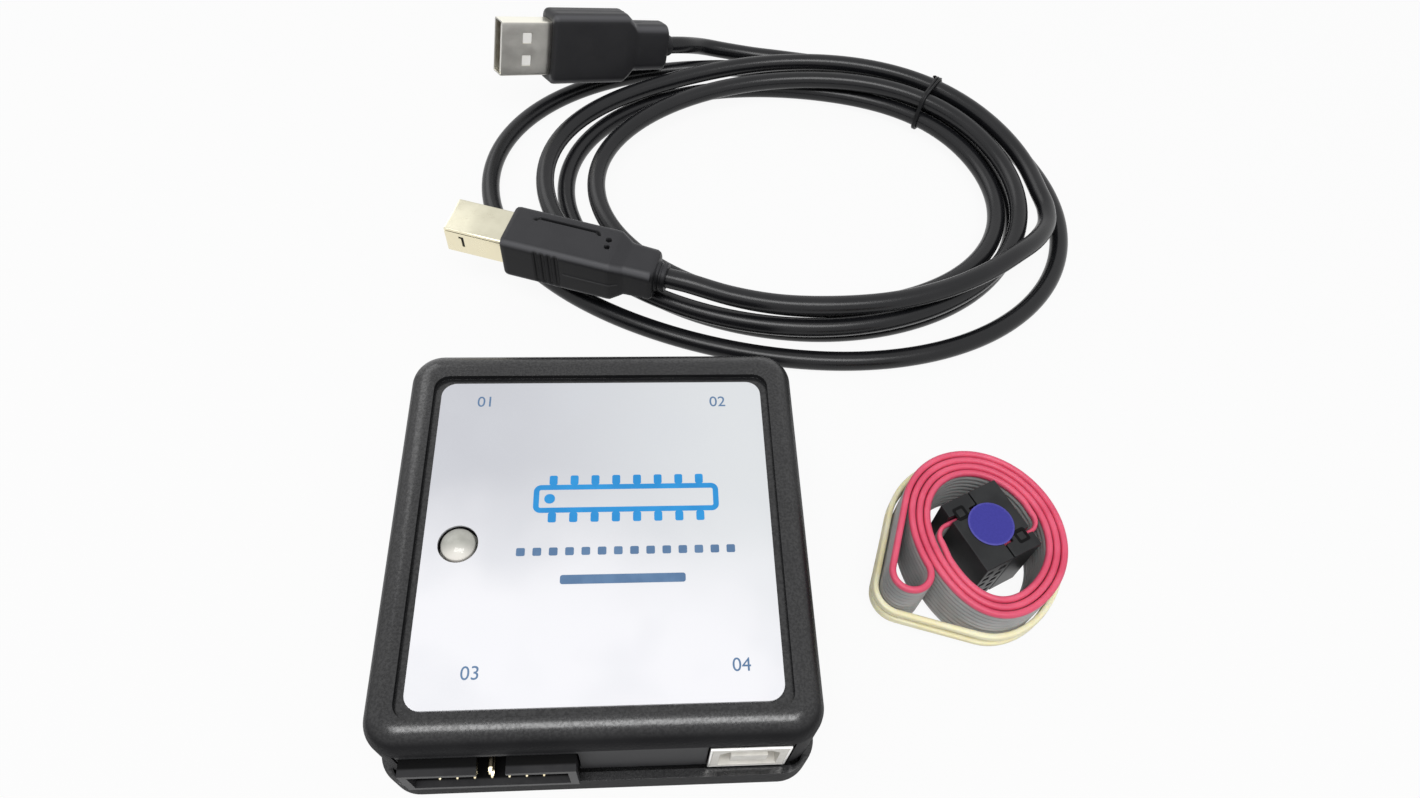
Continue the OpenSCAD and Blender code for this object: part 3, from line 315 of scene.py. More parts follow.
metals = {
    # the socket's top is painted dark behind its front edge: a painted shadow under the panel's edge
    "socketTin": {"color": (0.90, 0.89, 0.86), "tint": (0.97, 0.96, 0.94), "rough": 0.30, "uneven": 0.14,
                  "cloud": 2.5 * mm, "grain": 0.25 * mm, "lines": (1.0, 0.05, 1.0), "depth": 0.002 * mm,
                  "panelShadow": (-33.58 * mm, -33.42 * mm, (0.05, 0.05, 0.05))},
    "pinGold": {"color": (0.84, 0.72, 0.45), "tint": (0.93, 0.84, 0.62), "rough": 0.24, "uneven": 0.12,
                "cloud": 1 * mm, "grain": 0.1 * mm, "lines": (1.0, 0.1, 1.0), "depth": 0.001 * mm},
    # the shells' litSide colours are painted reflections on the sides that face their litWay
    "shellGrey": {"color": (0.40, 0.39, 0.365), "tint": (0.50, 0.49, 0.46), "rough": 0.34, "uneven": 0.14,
                  "cloud": 3 * mm, "grain": 0.22 * mm, "lines": (0.05, 1.0, 1.0), "depth": 0.002 * mm,
                  "litSide": (0.97, 0.95, 0.84), "litWay": (0.125, 0.361, 0.924)},
    "shellCream": {"color": (0.64, 0.61, 0.475), "tint": (0.72, 0.69, 0.55), "rough": 0.30, "uneven": 0.12,
                   "cloud": 3 * mm, "grain": 0.25 * mm, "lines": (0.05, 1.0, 1.0),
                   "turn": (0.0, 0.0, math.radians(17.5)), "depth": 0.002 * mm, "litSide": (0.86, 0.79, 0.58),
                   "litWay": (0.301, 0.954, 0.0)},
    "screwSteel": {"color": (0.34, 0.35, 0.36), "tint": (0.48, 0.49, 0.50), "rough": 0.32, "uneven": 0.12,
                   "cloud": 1.5 * mm, "grain": 0.15 * mm, "lines": (1.0, 1.0, 0.1), "depth": 0.002 * mm},
    "canSteel": {"color": (0.52, 0.53, 0.55), "tint": (0.66, 0.67, 0.68), "rough": 0.28, "uneven": 0.12,
                 "cloud": 2 * mm, "grain": 0.15 * mm, "lines": (0.1, 1.0, 1.0), "depth": 0.002 * mm},
}
# the front pins are painted dark towards the rear: painted shade inside the header
metals["tipGold"] = {**metals["pinGold"], "panelShadow": (-34.2 * mm, -33.8 * mm, (0.020, 0.017, 0.012))}
finishes = {name: mouldedFinish(name, look) for name, look in plastics.items()}
finishes.update({name: metalFinish(name, look) for name, look in metals.items()})


# silver label: a painted sheen, cool and darker at the rear and clearing towards the front where the lamps' reflection
# brightens it, and fine metallic flakes
silver = {
    "front": (0.82, 0.82, 0.85), "rearLeft": (0.52, 0.53, 0.57), "rearRight": (0.66, 0.68, 0.70),
    "haze": (0.60, 0.62, 0.66), "glint": (0.95, 0.95, 0.98), "gloss": 0.6, "rough": 0.34, "uneven": 0.10,
    "cloud": 16 * mm, "flake": 0.16 * mm, "flakeRough": 0.7, "depth": 0.004 * mm, "paintedSheen": (-18 * mm, 10 * mm),
    "slant": 0.2, "drift": 14 * mm, "sides": (-24 * mm, 26 * mm), "hazeRange": (0.45, 0.75), "hazeShare": 0.25,
    "glintRange": (0.60, 0.80), "glintShare": 0.22, "glintGloss": 0.12,
}


def labelFinish(look):
    material, tree, shader, place = startFinish("labelSilver", {"Metallic": 0.0, "Specular IOR Level": look["gloss"]})
    across, along = split(tree, place, 0), split(tree, place, 1)
    cloud = noiseAt(tree, place, look["cloud"])
    flakes = noiseAt(tree, place, look["flake"], 2.0, look["flakeRough"])
    # painted sheen: the colour runs from the rear tones to the pale front
    paintedSheen = ease(tree, along + look["slant"] * across + look["drift"] * (cloud - 0.5), *look["paintedSheen"])
    rear = blendColor(tree, ease(tree, across, *look["sides"]), look["rearLeft"], look["rearRight"])
    color = blendColor(tree, paintedSheen, look["front"], rear)
    color = blendColor(tree, look["hazeShare"] * ease(tree, cloud, *look["hazeRange"]), color, look["haze"])
    sparkle = ease(tree, flakes, *look["glintRange"])
    color = blendColor(tree, look["glintShare"] * sparkle, color, look["glint"])
    rough = look["rough"] + look["uneven"] * (cloud - 0.5) - look["glintGloss"] * sparkle
    feed(tree, shader, {"Base Color": color, "Roughness": rough, "Normal": bumpOf(tree, flakes, look["depth"])})
    return material


# pearl button: warm grey lacquer under a clear coat, painted paler towards the front as painted light on its front rim
pearl = {
    "color": (0.36, 0.36, 0.325), "tint": (0.43, 0.43, 0.39), "front": (0.84, 0.81, 0.75), "litFrontFrom": 0.2 * mm,
    "litFrontTo": -3.0 * mm, "drift": 0.8 * mm, "coat": 0.6, "coatRough": 0.05, "gloss": 0.2, "metallic": 0.10,
    "flicker": 0.1, "rough": 0.50, "uneven": 0.12, "cloud": 1.6 * mm, "flake": 0.09 * mm, "depth": 0.002 * mm,
}


def pearlFinish(look):
    material, tree, shader, place = startFinish("capPearl", {
        "Coat Weight": look["coat"], "Coat Roughness": look["coatRough"], "Specular IOR Level": look["gloss"]})
    low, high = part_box("button_cap")
    middle = (low.y + high.y) / 2
    cloud = noiseAt(tree, place, look["cloud"], 3.0)
    flakes = noiseAt(tree, place, look["flake"])
    # painted light: the front rim is painted pale
    front = ease(tree, split(tree, place, 1) + look["drift"] * (cloud - 0.5),
                 middle + look["litFrontFrom"], middle + look["litFrontTo"])
    color = blendColor(tree, front, twoTone(tree, cloud, look["color"], look["tint"]), look["front"])
    feed(tree, shader, {"Base Color": color, "Metallic": look["metallic"] + look["flicker"] * (flakes - 0.5),
                        "Roughness": look["rough"] + look["uneven"] * (cloud - 0.5),
                        "Normal": bumpOf(tree, flakes, look["depth"])})
    return material


# flat cable: grey wires with one crimson wire along the upper edge, and painted shade in the valleys between the wires
stripe = {
    "grey": ((0.33, 0.33, 0.33), (0.42, 0.415, 0.41)), "crimson": ((0.66, 0.072, 0.145), (0.75, 0.112, 0.195)),
    "edge": (1.12, 0.92), "valleyShade": (0.13, 0.13, 0.132), "valleyShadeRange": (0.34, 0.5), "valleyShadeShare": 0.6,
    "rough": 0.46, "uneven": 0.10, "cloud": 7 * mm, "grain": 0.3 * mm, "depth": 0.01 * mm,
    "constants": {"Specular IOR Level": 0.45, "Subsurface Weight": 0.3, "Subsurface Scale": 1 * mm,
                  "Subsurface Radius": (1.0, 0.3, 0.3)},
}


def ribbonFinish(look, low, pitch, count):
    material, tree, shader, place = startFinish("ribbonStripe", look["constants"])
    wire = (split(tree, place, 2) - low) / pitch
    edge = ease(tree, wire, *(count - inset for inset in look["edge"]))
    cloud = noiseAt(tree, place, look["cloud"], 3.0)
    grain = noiseAt(tree, place, look["grain"])
    # painted shade: darker where one wire meets the next
    valleyShade = ease(tree, abs(wire.calc("FRACT", wire) - 0.5), *look["valleyShadeRange"])
    grey = blendColor(tree, look["valleyShadeShare"] * valleyShade, twoTone(tree, cloud, *look["grey"]), look["valleyShade"])
    feed(tree, shader, {"Base Color": blendColor(tree, edge, grey, twoTone(tree, cloud, *look["crimson"])),
                        "Roughness": look["rough"] + look["uneven"] * (cloud - 0.5),
                        "Normal": bumpOf(tree, grain, look["depth"])})
    return material


# round paper dot: printed violet blue with a worn paler rim
paper = {
    "violet": ((0.024, 0.022, 0.235), (0.033, 0.030, 0.28)), "rim": (0.13, 0.12, 0.50), "rimIn": (0.45 * mm, 0.05 * mm),
    "rimShare": 0.35, "ragged": 0.5 * mm, "gloss": 0.4, "rough": 0.55, "uneven": 0.15, "fibre": 0.35 * mm,
    "fibreRough": 0.7, "depth": 0.01 * mm,
}


def dotFinish(look, middle, radius):
    material, tree, shader, place = startFinish("dotBlue", {"Specular IOR Level": look["gloss"]})
    shift = mapped(tree, place, Location=tuple(-c for c in middle))
    apart = addNode(tree, "ShaderNodeVectorMath", {"operation": "LENGTH"}, {0: shift}, out="Value")
    fibre = noiseAt(tree, place, look["fibre"], 4.0, look["fibreRough"])
    rim = ease(tree, apart + look["ragged"] * (fibre - 0.5), *(radius - inset for inset in look["rimIn"]))
    color = blendColor(tree, look["rimShare"] * rim, twoTone(tree, fibre, *look["violet"]), look["rim"])
    feed(tree, shader, {"Base Color": color, "Roughness": look["rough"] + look["uneven"] * (fibre - 0.5),
                        "Normal": bumpOf(tree, fibre, look["depth"])})
    return material


# circuit board: green mask over paler copper lanes
mask = {
    "green": ((0.010, 0.080, 0.028), (0.014, 0.100, 0.036)), "copper": (0.030, 0.175, 0.060), "copperShare": 0.7,
    "lane": 5 * mm, "laneWide": 0.035, "laneSoft": 0.2, "laneShift": {"offset": 0.37, "squash": 0.6}, "coat": 0.3,
    "rough": 0.32, "uneven": 0.1, "cloud": 5 * mm, "depth": 0.02 * mm,
}


def boardFinish(look):
    material, tree, shader, place = startFinish("boardGreen", {"Coat Weight": look["coat"]})
    lanes = addNode(tree, "ShaderNodeTexBrick", look["laneShift"],
                    {"Vector": place, "Scale": 1 / look["lane"], "Mortar Size": look["laneWide"],
                     "Mortar Smooth": look["laneSoft"]}, out="Fac")
    cloud = noiseAt(tree, place, look["cloud"], 3.0)
    color = blendColor(tree, look["copperShare"] * lanes, twoTone(tree, cloud, *look["green"]), look["copper"])
    feed(tree, shader, {"Base Color": color, "Roughness": look["rough"] + look["uneven"] * (cloud - 0.5),
                        "Normal": bumpOf(tree, lanes, look["depth"])})
    return material


finishes["labelSilver"] = labelFinish(silver)
finishes["capPearl"] = pearlFinish(pearl)
finishes["boardGreen"] = boardFinish(mask)
print("finishes:", len(finishes))

# pieces


def settle(piece, finish, body, replaced=()):
    piece.data.materials.clear()
    piece.data.materials.append(finish)
    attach(piece, body)
    if replaced:
        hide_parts(*replaced)
    return piece


def meshPiece(name, points, faces):
    mesh = bpy.data.meshes.new(name)
    mesh.from_pydata([tuple(p) for p in points], [], [tuple(f) for f in faces])
    mesh.validate()
    return newObject(name, mesh)


def seenMesh(piece):
    return bpy.data.meshes.new_from_object(piece.evaluated_get(bpy.context.evaluated_depsgraph_get()))


# applies the modifiers that were put on a piece, so that only a plain mesh is left
def makePlain(piece):
    mesh = seenMesh(piece)
    piece.modifiers.clear()
    old, piece.data = piece.data, mesh
    mesh.name = piece.name
    bpy.data.meshes.remove(old)
    return piece


def smoothPiece(piece, angle):
    mesh = piece.data
    mesh.polygons.foreach_set("use_smooth", [True] * len(mesh.polygons))
    mesh.set_sharp_from_angle(angle=math.radians(angle))
    return piece


def dropShapes(*shapes):
    for shape in shapes:
        bpy.data.objects.remove(shape)


def joined(name, pieces):
    work = bmesh.new()
    for piece in pieces:
        work.from_mesh(piece.data)
    mesh = bpy.data.meshes.new(name)
    work.to_mesh(mesh)
    work.free()
    dropShapes(*pieces)
    return newObject(name, mesh)


# all faces point outwards, or the way the given test asks for
def turnOutwards(piece, isInward=None):
    work = bmesh.new()
    work.from_mesh(piece.data)
    bmesh.ops.recalc_face_normals(work, faces=work.faces)
    if isInward and isInward(work.faces[:][0]):
        bmesh.ops.reverse_faces(work, faces=work.faces)
    work.to_mesh(piece.data)
    work.free()


def roundEdges(piece, width, steps=2, angle=30):
    edge = piece.modifiers.new("edge", "BEVEL")
    edge.limit_method = "ANGLE"
    edge.angle_limit = math.radians(angle)
    edge.width = width
    edge.segments = steps


# a copy of a CAD node with its sharp edges rounded a little; shift sets corners at one x a little aside
softened = {"merge": 0.002 * mm, "flat": 0.5, "sharp": 35, "weight": 80, "near": 0.01 * mm}


def softCopy(name, node, width, finish, body, steps=2, shift=()):
    source = nodes[node].data
    piece = meshPiece(name, [v.co for v in source.vertices], [p.vertices for p in source.polygons])
    work = bmesh.new()
    work.from_mesh(piece.data)
    bmesh.ops.remove_doubles(work, verts=work.verts, dist=softened["merge"])
    bmesh.ops.dissolve_limit(work, angle_limit=math.radians(softened["flat"]), verts=work.verts, edges=work.edges)
    bmesh.ops.connect_verts_concave(work, faces=work.faces)
    for x, by in shift:
        for corner in work.verts:
            if abs(corner.co.x - x * mm) < softened["near"]:
                corner.co.x += by * mm
    work.to_mesh(piece.data)
    work.free()
    piece.data.polygons.foreach_set("use_smooth", [True] * len(piece.data.polygons))
    roundEdges(piece, width * mm, steps, softened["sharp"])
    piece.modifiers.new("even", "WEIGHTED_NORMAL").weight = softened["weight"]
    return settle(makePlain(piece), finishes[finish], body, [node])


# rings of equal length, joined into a skin; unless it is closed, its ends get a flat face
def loftFaces(ringCount, sides, closed=False, base=0):
    faces = []
    for i in range(ringCount if closed else ringCount - 1):
        here, there = base + i * sides, base + (i + 1) % ringCount * sides
        faces += [(here + k, here + (k + 1) % sides, there + (k + 1) % sides, there + k) for k in range(sides)]
    if not closed:
        last = base + (ringCount - 1) * sides
        faces += [tuple(range(base, base + sides))[::-1], tuple(range(last, last + sides))]
    return faces


# outline of a rounded oblong in y and z with its outward directions, always the same count of points
def oblongRing(wide, high, radius, across, upright, corner, flat=0.01):
    radius = min(radius, wide / 2 - flat, high / 2 - flat)
    halfY, halfZ = wide / 2 - radius, high / 2 - radius
    quarters = (((halfY, halfZ), (-halfY, high / 2), across), ((-halfY, halfZ), (-wide / 2, -halfZ), upright),
                ((-halfY, -halfZ), (halfY, -high / 2), across), ((halfY, -halfZ), (wide / 2, halfZ), upright))
    points, outward = [], []
    for quarter, (centre, after, steps) in enumerate(quarters):
        for i in range(corner + 1):
            angle = math.radians(90 * quarter + 90 * i / corner)
            way = (math.cos(angle), math.sin(angle))
            points.append((centre[0] + radius * way[0], centre[1] + radius * way[1]))
            outward.append(way)
        before = points[-1]
        for i in range(1, steps):
            share = i / steps
            points.append((before[0] + (after[0] - before[0]) * share, before[1] + (after[1] - before[1]) * share))
            outward.append(way)
    return np.array(points), np.array(outward)


def moved(points, place):
    points = np.asarray(points, float)
    turn = np.array(place.to_3x3())
    return points @ turn.T + np.array(place.translation)


def polarTurn(angles):
    x, y, z = (math.radians(a) for a in angles)
    return Matrix.Rotation(z, 4, "Z") @ Matrix.Rotation(y, 4, "Y") @ Matrix.Rotation(x, 4, "X")


def unitRows(ways):
    return ways / np.linalg.norm(ways, axis=1)[:, None]


def lengthOf(line):
    return float(np.linalg.norm(np.diff(line, axis=0), axis=1).sum())


def fullTurn(count):
    return np.linspace(0, 2 * math.pi, count, endpoint=False)


# a closed flat loop with its points set evenly along it
def evenLoop(loop, count):
    loop = np.r_[loop, loop[:1]]
    long = np.r_[0, np.cumsum(np.linalg.norm(np.diff(loop, axis=0), axis=1))]
    marks = np.linspace(0, long[-1], count, endpoint=False)
    return np.c_[[np.interp(marks, long, loop[:, k]) for k in (0, 1)]].T


# rounded line through points, sampled about every step
def throughPoints(points, step):
    points = [np.asarray(p, float) for p in points]
    points = [2 * points[0] - points[1]] + points + [2 * points[-1] - points[-2]]
    line = []
    for a, b, c, d in zip(points, points[1:], points[2:], points[3:]):
        times = [0.0]
        for p, q in ((a, b), (b, c), (c, d)):
            times.append(times[-1] + math.sqrt(max(np.linalg.norm(q - p), 1e-6)))
        first, second, third, fourth = times
        count = max(1, round(np.linalg.norm(c - b) / step))
        for i in range(count):
            t = second + (third - second) * i / count
            mix = lambda p, q, s, e: p * (e - t) / (e - s) + q * (t - s) / (e - s)
            one, two, three = mix(a, b, first, second), mix(b, c, second, third), mix(c, d, third, fourth)
            line.append(mix(mix(one, two, first, third), mix(two, three, second, fourth), second, third))
    return np.array(line + [points[-2]])


# the USB lead: its route is the one of the solids, sampled more finely

lead = {
    "middle": (39.5, 94.5, 0.0), "thick": 4.0, "longHalf": 61.0, "wideHalf": 48.5, "pitch": 6.0, "layer": 4.5,
    "turns": 4.15, "tilt": -7.0, "start": 62.0, "deepest": 2.19, "reach": 2.3, "soft": 0.14, "drift": (0.4, -1.1),
    "climb": 0.5, "tieAngle": 51.0, "tieLift": 1.5, "tieSharp": 8, "pull": 1.6, "pullSharp": 4, "pullHub": 1.1,
    "loose": ((0.24, 0.15, 6.0), (0.67, 0.145, 11.0), (2.76, 0.2, -9.0), (3.82, 0.13, -8.0)),
    "plugA": (-53.9, 29.0, 18.2), "turnA": (73.9, 15.9, 24.5), "longA": 32.5,
    "plugB": (-59.0, -26.8, 14.1), "turnB": (0.0, 0.0, -17.5), "longB": 33.0,
    "bendsA": ((-16.5, 47.6, 4.8), (-11, 48.1, 3.4), (-3.6, 47.9, 2.3), (3.5, 47, 2.1), (11, 45.7, 2.1),
               (19.5, 43.8, 2.4)),
    "bendsB": ((58, -15, 7.4), (53.6, -21.5, 9.2), (47.5, -27, 10.7), (39.5, -32.5, 11), (30, -37, 11),
               (19, -40, 10.9), (7, -41.2, 10.9), (-5, -41, 11.2), (-15, -39.8, 12.4)),
    "perTurn": 72, "sides": 12, "step": 1.6, "inGrip": 2, "nudge": 0.01,
}


def smoothStep(value):
    value = min(1.0, max(0.0, value))
    return value * value * (3 - 2 * value)


def coilPoint(turn):
    inward = lead["reach"] - math.hypot(turn - lead["deepest"], lead["soft"])
    push = sum(size * math.exp(-((turn - at) / spread) ** 2) for at, spread, size in lead["loose"])
    angle = math.radians(lead["start"] - 360 * turn)
    near = max(0.0, math.cos(angle - math.radians(lead["tieAngle"])))
    out = push - lead["pitch"] * inward + lead["pull"] * near ** lead["pullSharp"] * (inward - lead["pullHub"])
    x = (lead["longHalf"] + out) * math.cos(angle)
    y = (lead["wideHalf"] + out) * math.sin(angle)
    tilt = math.radians(lead["tilt"])
    lift = lead["tieLift"] * near ** lead["tieSharp"]
    rise = lead["layer"] * smoothStep((turn - lead["deepest"]) / lead["climb"] + 0.5)
    return np.array((x * math.cos(tilt) - y * math.sin(tilt) + lead["drift"][0] * inward,
                     x * math.sin(tilt) + y * math.cos(tilt) + lead["drift"][1] * inward,
                     lead["thick"] / 2 + rise + lift))


def levelHeading(turn):
    way = coilPoint(turn + lead["nudge"]) - coilPoint(turn - lead["nudge"])
    way[2] = 0
    return way / np.linalg.norm(way)


plugPlace = {}
for key in "AB":
    plugMiddle = Vector(lead["middle"]) + Vector(lead["plug" + key])
    plugPlace[key] = Matrix.Translation(plugMiddle) @ polarTurn(lead["turn" + key])


def cableRoute():
    thick, last = lead["thick"], lead["turns"]
    ways, exits = {}, {}
    for key in "AB":
        ways[key] = np.array(plugPlace[key].to_3x3().col[0])
        exits[key] = np.array(lead["plug" + key]) + lead["long" + key] * ways[key]
    head = coilPoint(0) - thick * levelHeading(0)
    tail = coilPoint(last) + thick * levelHeading(last)
    count = round(last * lead["perTurn"])
    route = [exits["A"] - lead["inGrip"] * ways["A"], exits["A"], exits["A"] + thick * ways["A"],
             *map(np.array, lead["bendsA"]), head - thick * levelHeading(0), head]
    route += [coilPoint(last * i / count) for i in range(count + 1)]
    route += [tail, tail + thick * levelHeading(last), *map(np.array, lead["bendsB"]),
              exits["B"] + thick * ways["B"], exits["B"], exits["B"] - lead["inGrip"] * ways["B"]]
    return throughPoints(route, lead["step"]) + np.array(lead["middle"])


cableLine = cableRoute()
curve = bpy.data.curves.new("usbCable", "CURVE")
curve.dimensions = "3D"
spline = curve.splines.new("POLY")
spline.points.add(len(cableLine) - 1)
spline.points.foreach_set("co", np.c_[cableLine * mm, np.ones(len(cableLine))].ravel())
curve.bevel_depth = lead["thick"] / 2 * mm
curve.bevel_resolution = lead["sides"]
curve.use_fill_caps = True
cable = newObject("usbCable", curve)
settle(cable, finishes["jacketBlack"], "usb_lead",
       ["usb_lead_coil", "usb_lead_tail_a", "usb_lead_tail_b"])

# the ribbon lead: doubled, rolled round its sockets, each wire a rounded rib

roll = {
    "middle": (66.3, 2.5), "turn": -65.0, "longHalf": 10.6, "wideHalf": 8.9, "pitch": 1.3, "armStart": 261.0,
    "first": 276.0, "fold": 991.0, "leave": 945.0, "foldLead": 42.0, "swell": 5.2, "bend": 2.4, "rise": 0.15,
    "bulge": 2.2, "bulgeAngle": -36.0, "bulgeSharp": 3, "slot": -3.75, "apart": 0.15, "thick": 1.2, "clamped": 0.8,
    "clampFrom": 1.6, "clampRings": 10, "web": 0.62, "low": 1.25, "wires": 10, "wirePitch": 1.27, "perTurn": 110,
    "bendSteps": 12, "foldSteps": 30, "foldBack": 4, "smooth": 55,
}
# marks over one wire's width, with more of them at the round sides of the two edge wires
wireMarks = {"each": [-1.0, -0.6, -0.2, 0.2, 0.6], "lowEdge": [-0.96, -0.82], "highEdge": [0.82, 0.96, 1.0]}


def rollPoint(angle, out):
    angle, side = math.radians(angle), math.radians(roll["bulgeAngle"])
    swell = roll["bulge"] * max(0.0, math.cos(angle - side)) ** roll["bulgeSharp"]
    return np.array(((roll["longHalf"] + out) * math.cos(angle) + swell * math.cos(side),
                     (roll["wideHalf"] + out) * math.sin(angle) + swell * math.sin(side)))


def rollOut(angle, start):
    return 2 * roll["pitch"] * (angle - start) / 360


def arc(middle, radius, start, turn, steps):
    angles = [math.radians(start + turn * i / steps) for i in range(steps + 1)]
    return [middle + radius * np.array((math.cos(a), math.sin(a))) for a in angles]


def foldFacts():
    out = rollOut(roll["fold"], roll["armStart"]) + roll["swell"]
    outer = rollPoint(roll["fold"], out)
    inner = rollPoint(roll["fold"], rollOut(roll["fold"], roll["armStart"] + 180))
    apart = outer - inner
    return (outer + inner) / 2, np.linalg.norm(apart) / 2, math.degrees(math.atan2(apart[1], apart[0]))


def ribbonRoute():
    bendMiddle = np.array((roll["slot"] + roll["bend"], roll["bend"] + roll["rise"] - roll["wideHalf"]))
    leadIn = [np.array((roll["slot"], -roll["apart"]))] + arc(bendMiddle, roll["bend"], 180, 90, roll["bendSteps"])
    step = 360 / roll["perTurn"]
    sweep = lambda a, b: np.linspace(a, b, max(2, round(abs(b - a) / step)) + 1)
    middle, radius, start = foldFacts()
    outer = [rollPoint(a, rollOut(a, roll["armStart"])) for a in sweep(roll["first"], roll["leave"])]
    back = sweep(roll["fold"] - roll["foldBack"], roll["first"] + 180)
    inner = [rollPoint(a, rollOut(a, roll["armStart"] + 180)) for a in back]
    loop = arc(middle, radius, start - roll["foldLead"], 180 + roll["foldLead"], roll["foldSteps"])
    return np.array(leadIn + outer + loop + inner + [-p for p in leadIn[::-1]])


rollPlace = Matrix.Translation(Vector((*roll["middle"], 0))) @ Matrix.Rotation(math.radians(roll["turn"]), 4, "Z")


def sideways(line):
    way = unitRows(np.gradient(line, axis=0))
    return np.c_[-way[:, 1], way[:, 0]]


# height and half thickness over the width of the flat cable, from one edge to the other
def wireSection():
    half, web, last = roll["thick"] / 2, roll["web"] / 2, roll["wires"] - 1
    section = []
    for wire in range(last + 1):
        marks = wireMarks["each"]
        if wire == 0:
            marks = marks[:1] + wireMarks["lowEdge"] + marks[1:]
        if wire == last:
            marks = marks + wireMarks["highEdge"]
        for mark in marks:
            rise = half * math.sqrt(max(0.0, 1 - mark * mark))
            edge = (wire == 0 and mark < 0) or (wire == last and mark > 0)
            height = roll["low"] + roll["wirePitch"] * (wire + 0.5 + mark / 2)
            section.append((height, rise if edge else max(web, rise)))
    return np.array(section)


def makeRibbon(line):
    section, side = wireSection(), sideways(line)
    loop = np.r_[section, section[-2:0:-1] * (1, -1)]
    fromEnd = np.minimum(np.arange(len(line)), np.arange(len(line))[::-1])
    full = 1 - (1 - roll["clamped"] / roll["thick"]) * np.clip(roll["clampFrom"] - fromEnd / roll["clampRings"], 0, 1)
    flat = line[:, None, :] + side[:, None, :] * loop[None, :, 1, None] * full[:, None, None]
    points = np.concatenate([flat, np.broadcast_to(loop[None, :, 0, None], (*flat.shape[:2], 1))], axis=2)
    piece = meshPiece("ribbonCable", moved(points.reshape(-1, 3), rollPlace) * mm, loftFaces(len(line), len(loop)))
    finish = ribbonFinish(stripe, roll["low"] * mm, roll["wirePitch"] * mm, roll["wires"])
    settle(smoothPiece(piece, roll["smooth"]), finish, "ribbon_lead", ["ribbon_roll"])
    return piece, lengthOf(line)


ribbonLine = ribbonRoute()
ribbon, ribbonLength = makeRibbon(ribbonLine)
print("ribbon:", round(ribbonLength), "mm")

for key in "ab":
    for part in ("socket", "cover"):
        softCopy("ribbon" + part.title() + key.upper(), "ribbon_%s_%s" % (part, key), 0.22, "socketBlack",
                 "ribbon_lead", 3)

# latches: a dark ring pressed round each latch on the ends of the ribbon sockets; its near black is painted shade for
# the gap round the latch

latch = {"x": -4.0, "y": -3.5, "long": 2.5, "wide": 2.3, "line": 0.5, "corner": 0.4, "innerCorner": 0.2, "level": 15.2,
         "sunk": 0.02, "high": 0.04, "steps": (2, 2, 4)}


def makeLatchMarks():
    long, wide, line = latch["long"], latch["wide"], latch["line"]
    ring = oblongRing(long, wide, latch["corner"], *latch["steps"])[0]
    inner = oblongRing(long - 2 * line, wide - 2 * line, latch["innerCorner"], *latch["steps"])[0]
    low, high = latch["level"] - latch["sunk"], latch["level"] + latch["high"]
    marks = []
    for side in (1, -1):
        points = [(side * (latch["x"] + x), side * (latch["y"] + y), z)
                  for loop, z in ((ring, low), (ring, high), (inner, high), (inner, low)) for x, y in loop]
        marks.append(meshPiece("latchMark", moved(points, rollPlace) * mm, loftFaces(4, len(ring), closed=True)))
    settle(joined("latchMarks", marks), finishes["latchBlack"], "ribbon_lead")


makeLatchMarks()

# rubber band: two strands round the roll, a little wavy and squarish in section

band = {"high": 1.6, "thick": 1.0, "corner": 0.38, "gap": 0.5, "low": 3.0, "step": 2.6, "slant": 2.0, "wave": 0.18,
        "waves": 2, "waveShift": 2.1, "twist": 0.16, "twists": 3, "rays": 720, "points": 160, "steps": (3, 4, 4),
        "smooth": 60}


def tautPoint(angle, out):
    way = np.array((math.cos(angle), math.sin(angle)))
    return ribbonLine[np.argmax(ribbonLine @ way)] + (roll["clamped"] / 2 + out) * way


def makeBand():
    count, slant, turn = band["points"], math.radians(band["slant"]), fullTurn(band["points"])
    ring = oblongRing(band["thick"], band["high"], band["corner"], *band["steps"])[0]
    out = band["gap"] + band["thick"] / 2
    line = evenLoop(np.array([tautPoint(angle, out) for angle in fullTurn(band["rays"])]), count)
    way = unitRows(np.roll(line, -1, axis=0) - np.roll(line, 1, axis=0))
    outward = np.c_[way[:, 1], -way[:, 0]]
    points, faces = [], []
    for strand in range(2):
        level = band["low"] + band["high"] / 2 + strand * band["step"]
        rise = level + band["wave"] * np.sin(band["waves"] * turn + band["waveShift"] * strand)
        twist = band["twist"] * np.sin(band["twists"] * turn + strand)
        faces += loftFaces(count, len(ring), closed=True, base=len(points))
        for i in range(count):
            c, s = math.cos(twist[i]), math.sin(twist[i])
            for y, z in ring:
                push, lift = y * c - z * s, y * s + z * c
                x0, y0 = line[i] + outward[i] * push
                points.append((x0, y0 * math.cos(slant), rise[i] + lift + y0 * math.sin(slant)))
    piece = meshPiece("rubberBand", moved(points, rollPlace) * mm, faces)
    settle(smoothPiece(piece, band["smooth"]), finishes["bandLatex"], "ribbon_lead", ["rubber_band"])


makeBand()

# dot sticker: a thin paper disc with a softly lifted rim; its profile is set in from the rim and down from the top

dot = {"radius": 4.0, "low": 15.2, "thick": 0.2, "sides": 72, "smooth": 50, "under": ((0.06, 0.2), (0.0, 0.15)),
       "upper": ((0.0, 0.05), (0.06, 0.0), (0.35, 0.02), (0.7, 0.03), (2.5, 0.03), (3.7, 0.03))}


def lathe(name, profile, place, sides):
    points = [(r * math.cos(2 * math.pi * k / sides), r * math.sin(2 * math.pi * k / sides), z)
              for r, z in profile for k in range(sides)]
    return meshPiece(name, moved(points, place) * mm, loftFaces(len(profile), sides))


